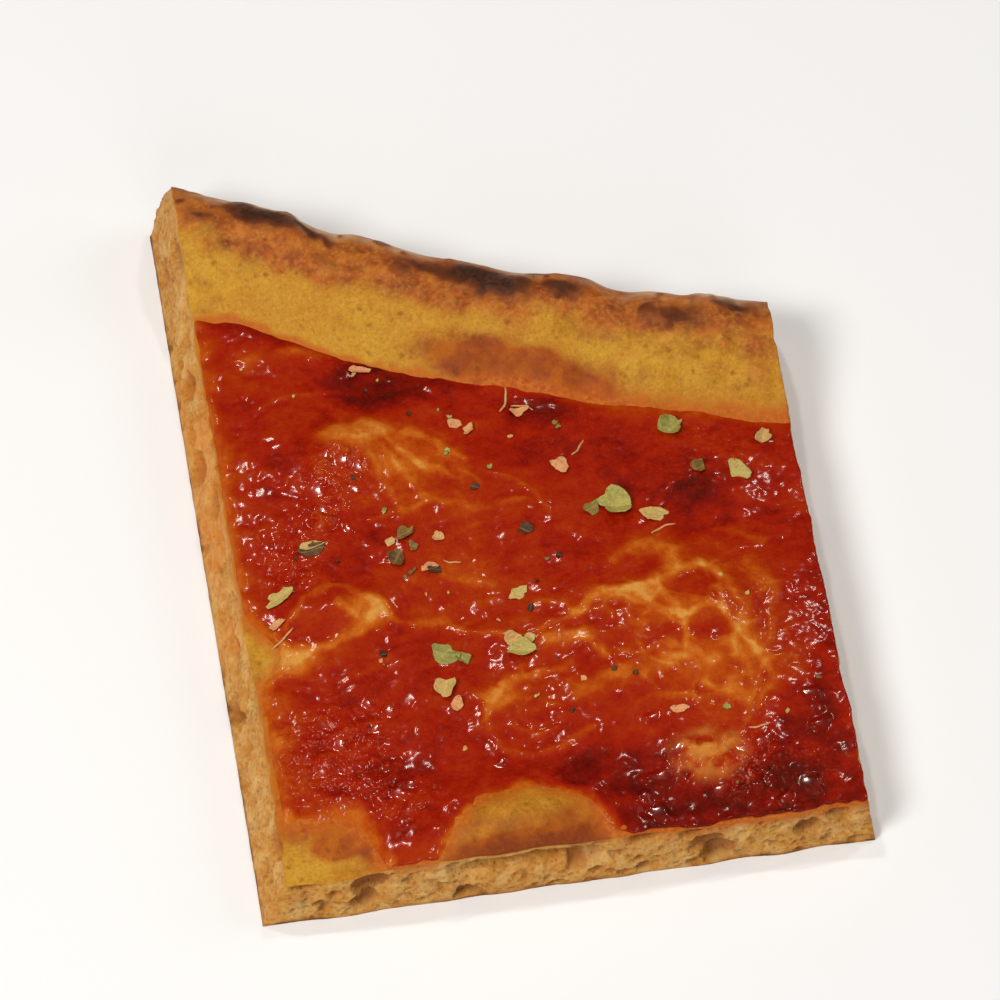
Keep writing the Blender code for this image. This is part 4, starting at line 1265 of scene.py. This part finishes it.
def sauce_paint():
    """Wet sauce: deep red where thick, orange where dough shows through, glossy with fine pulp."""
    paint = Paint("wet_tomato_sauce")
    fine, broad = paint.noise(0.8, 4.0, 0.65, 0.5), paint.noise(4.0, 3.0, 0.5)
    film, grain = paint.value("film"), paint.value("grain")
    shift = paint.plus(paint.times(fine, 0.30, -0.15), paint.times(broad, 0.26, -0.13))
    # Granules paler orange on top and deeper red between them: partly the pulp's own colour, partly painted
    # light and shade
    shift = paint.plus(shift, paint.times(paint.value("lump"), 0.22, -0.04))
    colour = paint.ramp(
        paint.plus(film, shift, clamp=True),
        (0.0, 80, 3, 0), (0.18, 120, 8, 0), (0.34, 150, 22, 0), (0.50, 158, 42, 0),
        (0.66, 172, 68, 6), (0.82, 190, 98, 24), (1.0, 208, 146, 66),
    )
    # Pale pink flecks in the coarse pulp: partly bits of pulp, partly painted glints
    flecks_and_glints = paint.times(paint.spread(paint.noise(0.6, 2.0, 0.5), 0.58, 0.70), grain)
    colour = paint.mix(paint.times(flecks_and_glints, 0.32), colour, (208, 96, 62))
    colour = paint.mix(paint.times(paint.value("crumbly"), 0.55), colour, (202, 138, 64))
    rough = paint.plus(paint.spread(grain, 0.05, 0.7, 0.46, 0.30), paint.spread(film, 0.5, 0.9, 0.0, 0.12))
    paint.set(
        Base_Color=colour,
        Roughness=paint.plus(rough, paint.times(broad, 0.3, -0.15), clamp=True),
        Normal=paint.bump(paint.times(paint.noise(0.4, 3.0, 0.6), 0.6, fine), 0.22, 0.6),
        Coat_Weight=paint.times(paint.value("facet"), 0.45, paint.spread(film, 0.42, 0.75, 0.23, 0.11)),
        Coat_Roughness=0.12,
        Specular_Tint=(1.0, 0.5, 0.3, 1.0),
        Specular_IOR_Level=0.12,
    )
    return paint.material


def crust_colour(paint, medium, broad):
    """Golden crust, orange or browned in places, and painted shade, dark brown, where the blister turns down
    to its slit.
    """
    gold = paint.ramp(
        medium, (0.25, 168, 108, 16), (0.45, 190, 138, 30), (0.62, 200, 150, 42), (0.8, 208, 166, 70)
    )
    gold = paint.mix(paint.spread(broad, 0.42, 0.66, 0.0, 0.5), gold, (186, 122, 22))
    brown = paint.ramp(
        medium, (0.28, 112, 44, 10), (0.46, 154, 72, 18), (0.64, 184, 102, 32), (0.8, 196, 124, 48)
    )
    orange = paint.ramp(medium, (0.3, 128, 46, 0), (0.5, 156, 68, 1), (0.7, 184, 98, 8))
    gold = paint.mix(paint.value("orange"), gold, orange)
    # Painted shade: dark brown along the blister's front, where it turns down to its slit
    gold = paint.mix(paint.times(paint.value("roll"), 0.8), gold, (118, 44, 10))
    freckle = paint.spread(paint.noise(1.3, 2.0, 0.5), 0.70, 0.80)
    gold = paint.mix(paint.times(freckle, 0.3), gold, (150, 84, 26))
    level = paint.times(medium, 0.5, paint.plus(paint.value("brown"), -0.25))
    return paint.mix(paint.spread(level, 0.1, 0.85), gold, brown)


def grainy_colour(paint, colour, fine, grit, pinholes):
    """The crust with pale and dark grain, and small holes darkened as painted shade."""
    calm = paint.spread(paint.value("orange"), 0.2, 0.9, 1.0, 0.2)
    pale = paint.times(paint.spread(fine, 0.56, 0.30, 0.0, 0.28), calm)
    colour = paint.mix(pale, colour, (224, 174, 76))
    colour = paint.mix(paint.spread(grit, 0.46, 0.72, 0.0, 0.42), colour, (142, 70, 8))
    return paint.mix(paint.times(pinholes, 0.5), colour, (112, 50, 8))


def burnt_colour(paint, colour, fine, medium):
    """The crust with its charred places and its flour."""
    burnt = paint.ramp(fine, (0.3, 34, 16, 8), (0.7, 84, 42, 18))
    singe = paint.times(medium, 0.6, paint.plus(paint.value("char"), -0.3))
    colour = paint.mix(paint.spread(singe, 0.06, 0.50), colour, (112, 52, 18))
    colour = paint.mix(paint.spread(singe, 0.36, 0.86), colour, burnt)
    dust = paint.times(paint.value("flour"), paint.spread(fine, 0.3, 0.6, 0.55, 1.0))
    return paint.mix(dust, colour, (226, 196, 154))


def crumb_colour(paint, fine, medium, pits):
    """Pale crumb, darkened in its pits and pores as painted shade, and orange where sauce has soaked in."""
    crumb = paint.ramp(fine, (0.26, 178, 112, 40), (0.5, 198, 138, 58), (0.74, 214, 162, 84))
    crumb = paint.mix(paint.spread(medium, 0.46, 0.66, 0.0, 0.6), crumb, (222, 184, 118))
    crumb = paint.mix(paint.times(pits, 0.35), crumb, (158, 92, 34))
    crumb = paint.mix(paint.times(paint.value("pore"), 0.75), crumb, (152, 84, 30))
    return paint.mix(paint.value("orange"), crumb, (222, 130, 44))


def bread_paint():
    """Baked dough: crust above, crumb at the cuts, a speckled underside, and sauce at its edges."""
    paint = Paint("baked_bread")
    fine, medium = paint.noise(0.8, 4.0, 0.6), paint.noise(3.5, 4.0, 0.55, 0.4)
    broad, grit = paint.noise(14.0, 3.0, 0.5), paint.noise(0.45, 3.0, 0.65)
    pinholes = paint.times(paint.pits(1.5), paint.spread(paint.noise(2.6, 2.0, 0.5), 0.5, 0.62))
    pits = paint.times(paint.pits(0.9), paint.value("crumb"))
    colour = crust_colour(paint, medium, broad)
    colour = grainy_colour(paint, colour, fine, grit, pinholes)
    colour = burnt_colour(paint, colour, fine, medium)
    colour = paint.mix(paint.value("crumb"), colour, crumb_colour(paint, fine, medium, pits))
    under = paint.ramp(
        paint.times(broad, 0.8, paint.times(medium, 0.75, -0.28)),
        (0.30, 92, 46, 16), (0.42, 158, 96, 38), (0.55, 196, 140, 70), (0.72, 216, 172, 108),
    )
    colour = paint.mix(paint.value("under"), colour, under)
    stain = paint.times(paint.value("stain"), paint.spread(fine, 0.25, 0.6, 0.6, 1.0))
    colour = paint.mix(stain, colour, paint.ramp(fine, (0.35, 172, 72, 6), (0.65, 194, 106, 24)))
    relief = paint.times(pits, -1.0, paint.times(medium, 0.8, fine))
    relief = paint.times(grit, 0.5, paint.times(pinholes, -0.8, relief))
    paint.set(
        Base_Color=colour,
        Roughness=paint.spread(medium, 0.3, 0.7, 0.52, 0.72),
        Normal=paint.bump(relief, 0.22, 0.65),
        Subsurface_Weight=0.15,
        Subsurface_Scale=0.0015,
        Subsurface_Radius=(1.0, 0.5, 0.25),
        Specular_IOR_Level=0.2,
    )
    return paint.material


def oregano_paint():
    """Dried leaves, from dark brown through olive to straw, mottled, with a faint rib."""
    paint = Paint("dried_oregano")
    mottle, fine = paint.noise(0.9, 4.0, 0.62, 0.4), paint.noise(0.3, 3.0, 0.6)
    colour = paint.ramp(
        paint.plus(paint.value("tone"), paint.times(mottle, 0.5, -0.25), clamp=True),
        (0.0, 44, 18, 8), (0.20, 84, 54, 24), (0.36, 136, 102, 44), (0.50, 134, 132, 64),
        (0.66, 178, 168, 86), (0.82, 198, 166, 98), (1.0, 218, 146, 100),
    )
    colour = paint.mix(paint.spread(fine, 0.48, 0.72, 0.0, 0.5), colour, (108, 76, 36))
    colour = paint.mix(paint.spread(paint.value("rib"), 0.0, 0.16, 0.16, 0.0), colour, (206, 190, 128))
    paint.set(
        Base_Color=colour,
        Roughness=paint.spread(mottle, 0.3, 0.7, 0.5, 0.68),
        Normal=paint.bump(paint.times(mottle, 0.8, fine), 0.16, 0.7),
        Specular_IOR_Level=0.3,
    )
    return paint.material


# Stage, light and camera, with lengths in metres


FLOOR_SIZE = 4.0
FLOOR_COLOUR = (240, 242, 245)
GLOW_COLOUR = (1.0, 0.96, 0.91, 1.0)
GLOW_STRENGTH = 0.08

# A key lamp, three small lamps for the wet sauce's sparkle, and two soft fills
Lamp = namedtuple("Lamp", "name azimuth elevation distance size power colour")
LAMPS = table(
    Lamp,
    ("key", -62.0, 52.0, 1.0, 0.35, 6.2, (1.0, 0.96, 0.9)),
    ("lamp_right", 132.0, 60.0, 1.1, 0.06, 1.3, (1.0, 0.95, 0.88)),
    ("lamp_left", -155.0, 64.0, 1.1, 0.06, 1.9, (1.0, 0.95, 0.88)),
    ("lamp_above", -20.0, 83.0, 1.1, 0.06, 1.7, (1.0, 0.96, 0.9)),
    ("fill_right", 95.0, 34.0, 1.2, 0.7, 2.8, (1.0, 0.98, 0.96)),
    ("fill_front", 5.0, 24.0, 1.3, 0.7, 2.8, (1.0, 0.98, 0.96)),
)


def make_stage():
    """A plain pale floor."""
    bpy.ops.mesh.primitive_plane_add(size=FLOOR_SIZE)
    floor = bpy.context.object
    floor.name = "floor"
    material = bpy.data.materials.new("pale_floor")
    material.use_nodes = True
    shader = material.node_tree.nodes["Principled BSDF"]
    shader.inputs["Base Color"].default_value = tone(*FLOOR_COLOUR)
    shader.inputs["Roughness"].default_value = 0.8
    floor.data.materials.append(material)


def direction(azimuth, elevation):
    """Unit vector from the slice towards a place given in degrees."""
    a, e = math.radians(azimuth), math.radians(elevation)
    return Vector((math.sin(a) * math.cos(e), -math.cos(a) * math.cos(e), math.sin(e)))


def add_light(lamp):
    """A square lamp that faces the slice."""
    data = bpy.data.lights.new(lamp.name, "AREA")
    data.size = lamp.size
    data.energy = lamp.power
    data.color = lamp.colour
    light = bpy.data.objects.new(lamp.name, data)
    away = direction(lamp.azimuth, lamp.elevation)
    light.location = away * lamp.distance
    light.rotation_euler = away.to_track_quat("Z", "Y").to_euler()
    bpy.context.scene.collection.objects.link(light)


def make_lights():
    """The lamps and a faint warm glow from all round."""
    for lamp in LAMPS:
        add_light(lamp)
    world = bpy.data.worlds.new("studio")
    world.use_nodes = True
    background = world.node_tree.nodes["Background"]
    background.inputs["Color"].default_value = GLOW_COLOUR
    background.inputs["Strength"].default_value = GLOW_STRENGTH
    bpy.context.scene.world = world


CAMERA_AZIMUTH = -9.0
CAMERA_ELEVATION = 60.0
CAMERA_DISTANCE = 0.75
CAMERA_LENS, CAMERA_SENSOR = 172.0, 36.0
CAMERA_TARGET = Vector((0.0, 0.0005, 0.006))


def make_camera():
    """The photograph's angle on this slice."""
    data = bpy.data.cameras.new("camera")
    data.lens = CAMERA_LENS
    data.sensor_width = CAMERA_SENSOR
    camera = bpy.data.objects.new("camera", data)
    back = direction(CAMERA_AZIMUTH, CAMERA_ELEVATION)
    camera.location = CAMERA_TARGET + back * CAMERA_DISTANCE
    camera.rotation_mode = "QUATERNION"
    camera.rotation_quaternion = (-back).to_track_quat("-Z", "Y")
    bpy.context.scene.collection.objects.link(camera)
    bpy.context.scene.camera = camera


def main():
    """Dress the slice and light it."""
    bpy.context.scene.view_settings.view_transform = "Standard"
    bread, sauce, oregano = make_bread(), make_sauce(), make_oregano()
    for piece, material, slot in (
        (bread, bread_paint(), "baked_dough"),
        (sauce, sauce_paint(), "tomato_sauce"),
        (oregano, oregano_paint(), "tomato_sauce"),
    ):
        piece.data.materials.clear()
        piece.data.materials.append(material)
        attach(piece, "root")
    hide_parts("bread")
    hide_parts("tomato_sauce")
    make_stage()
    make_lights()
    make_camera()


main()
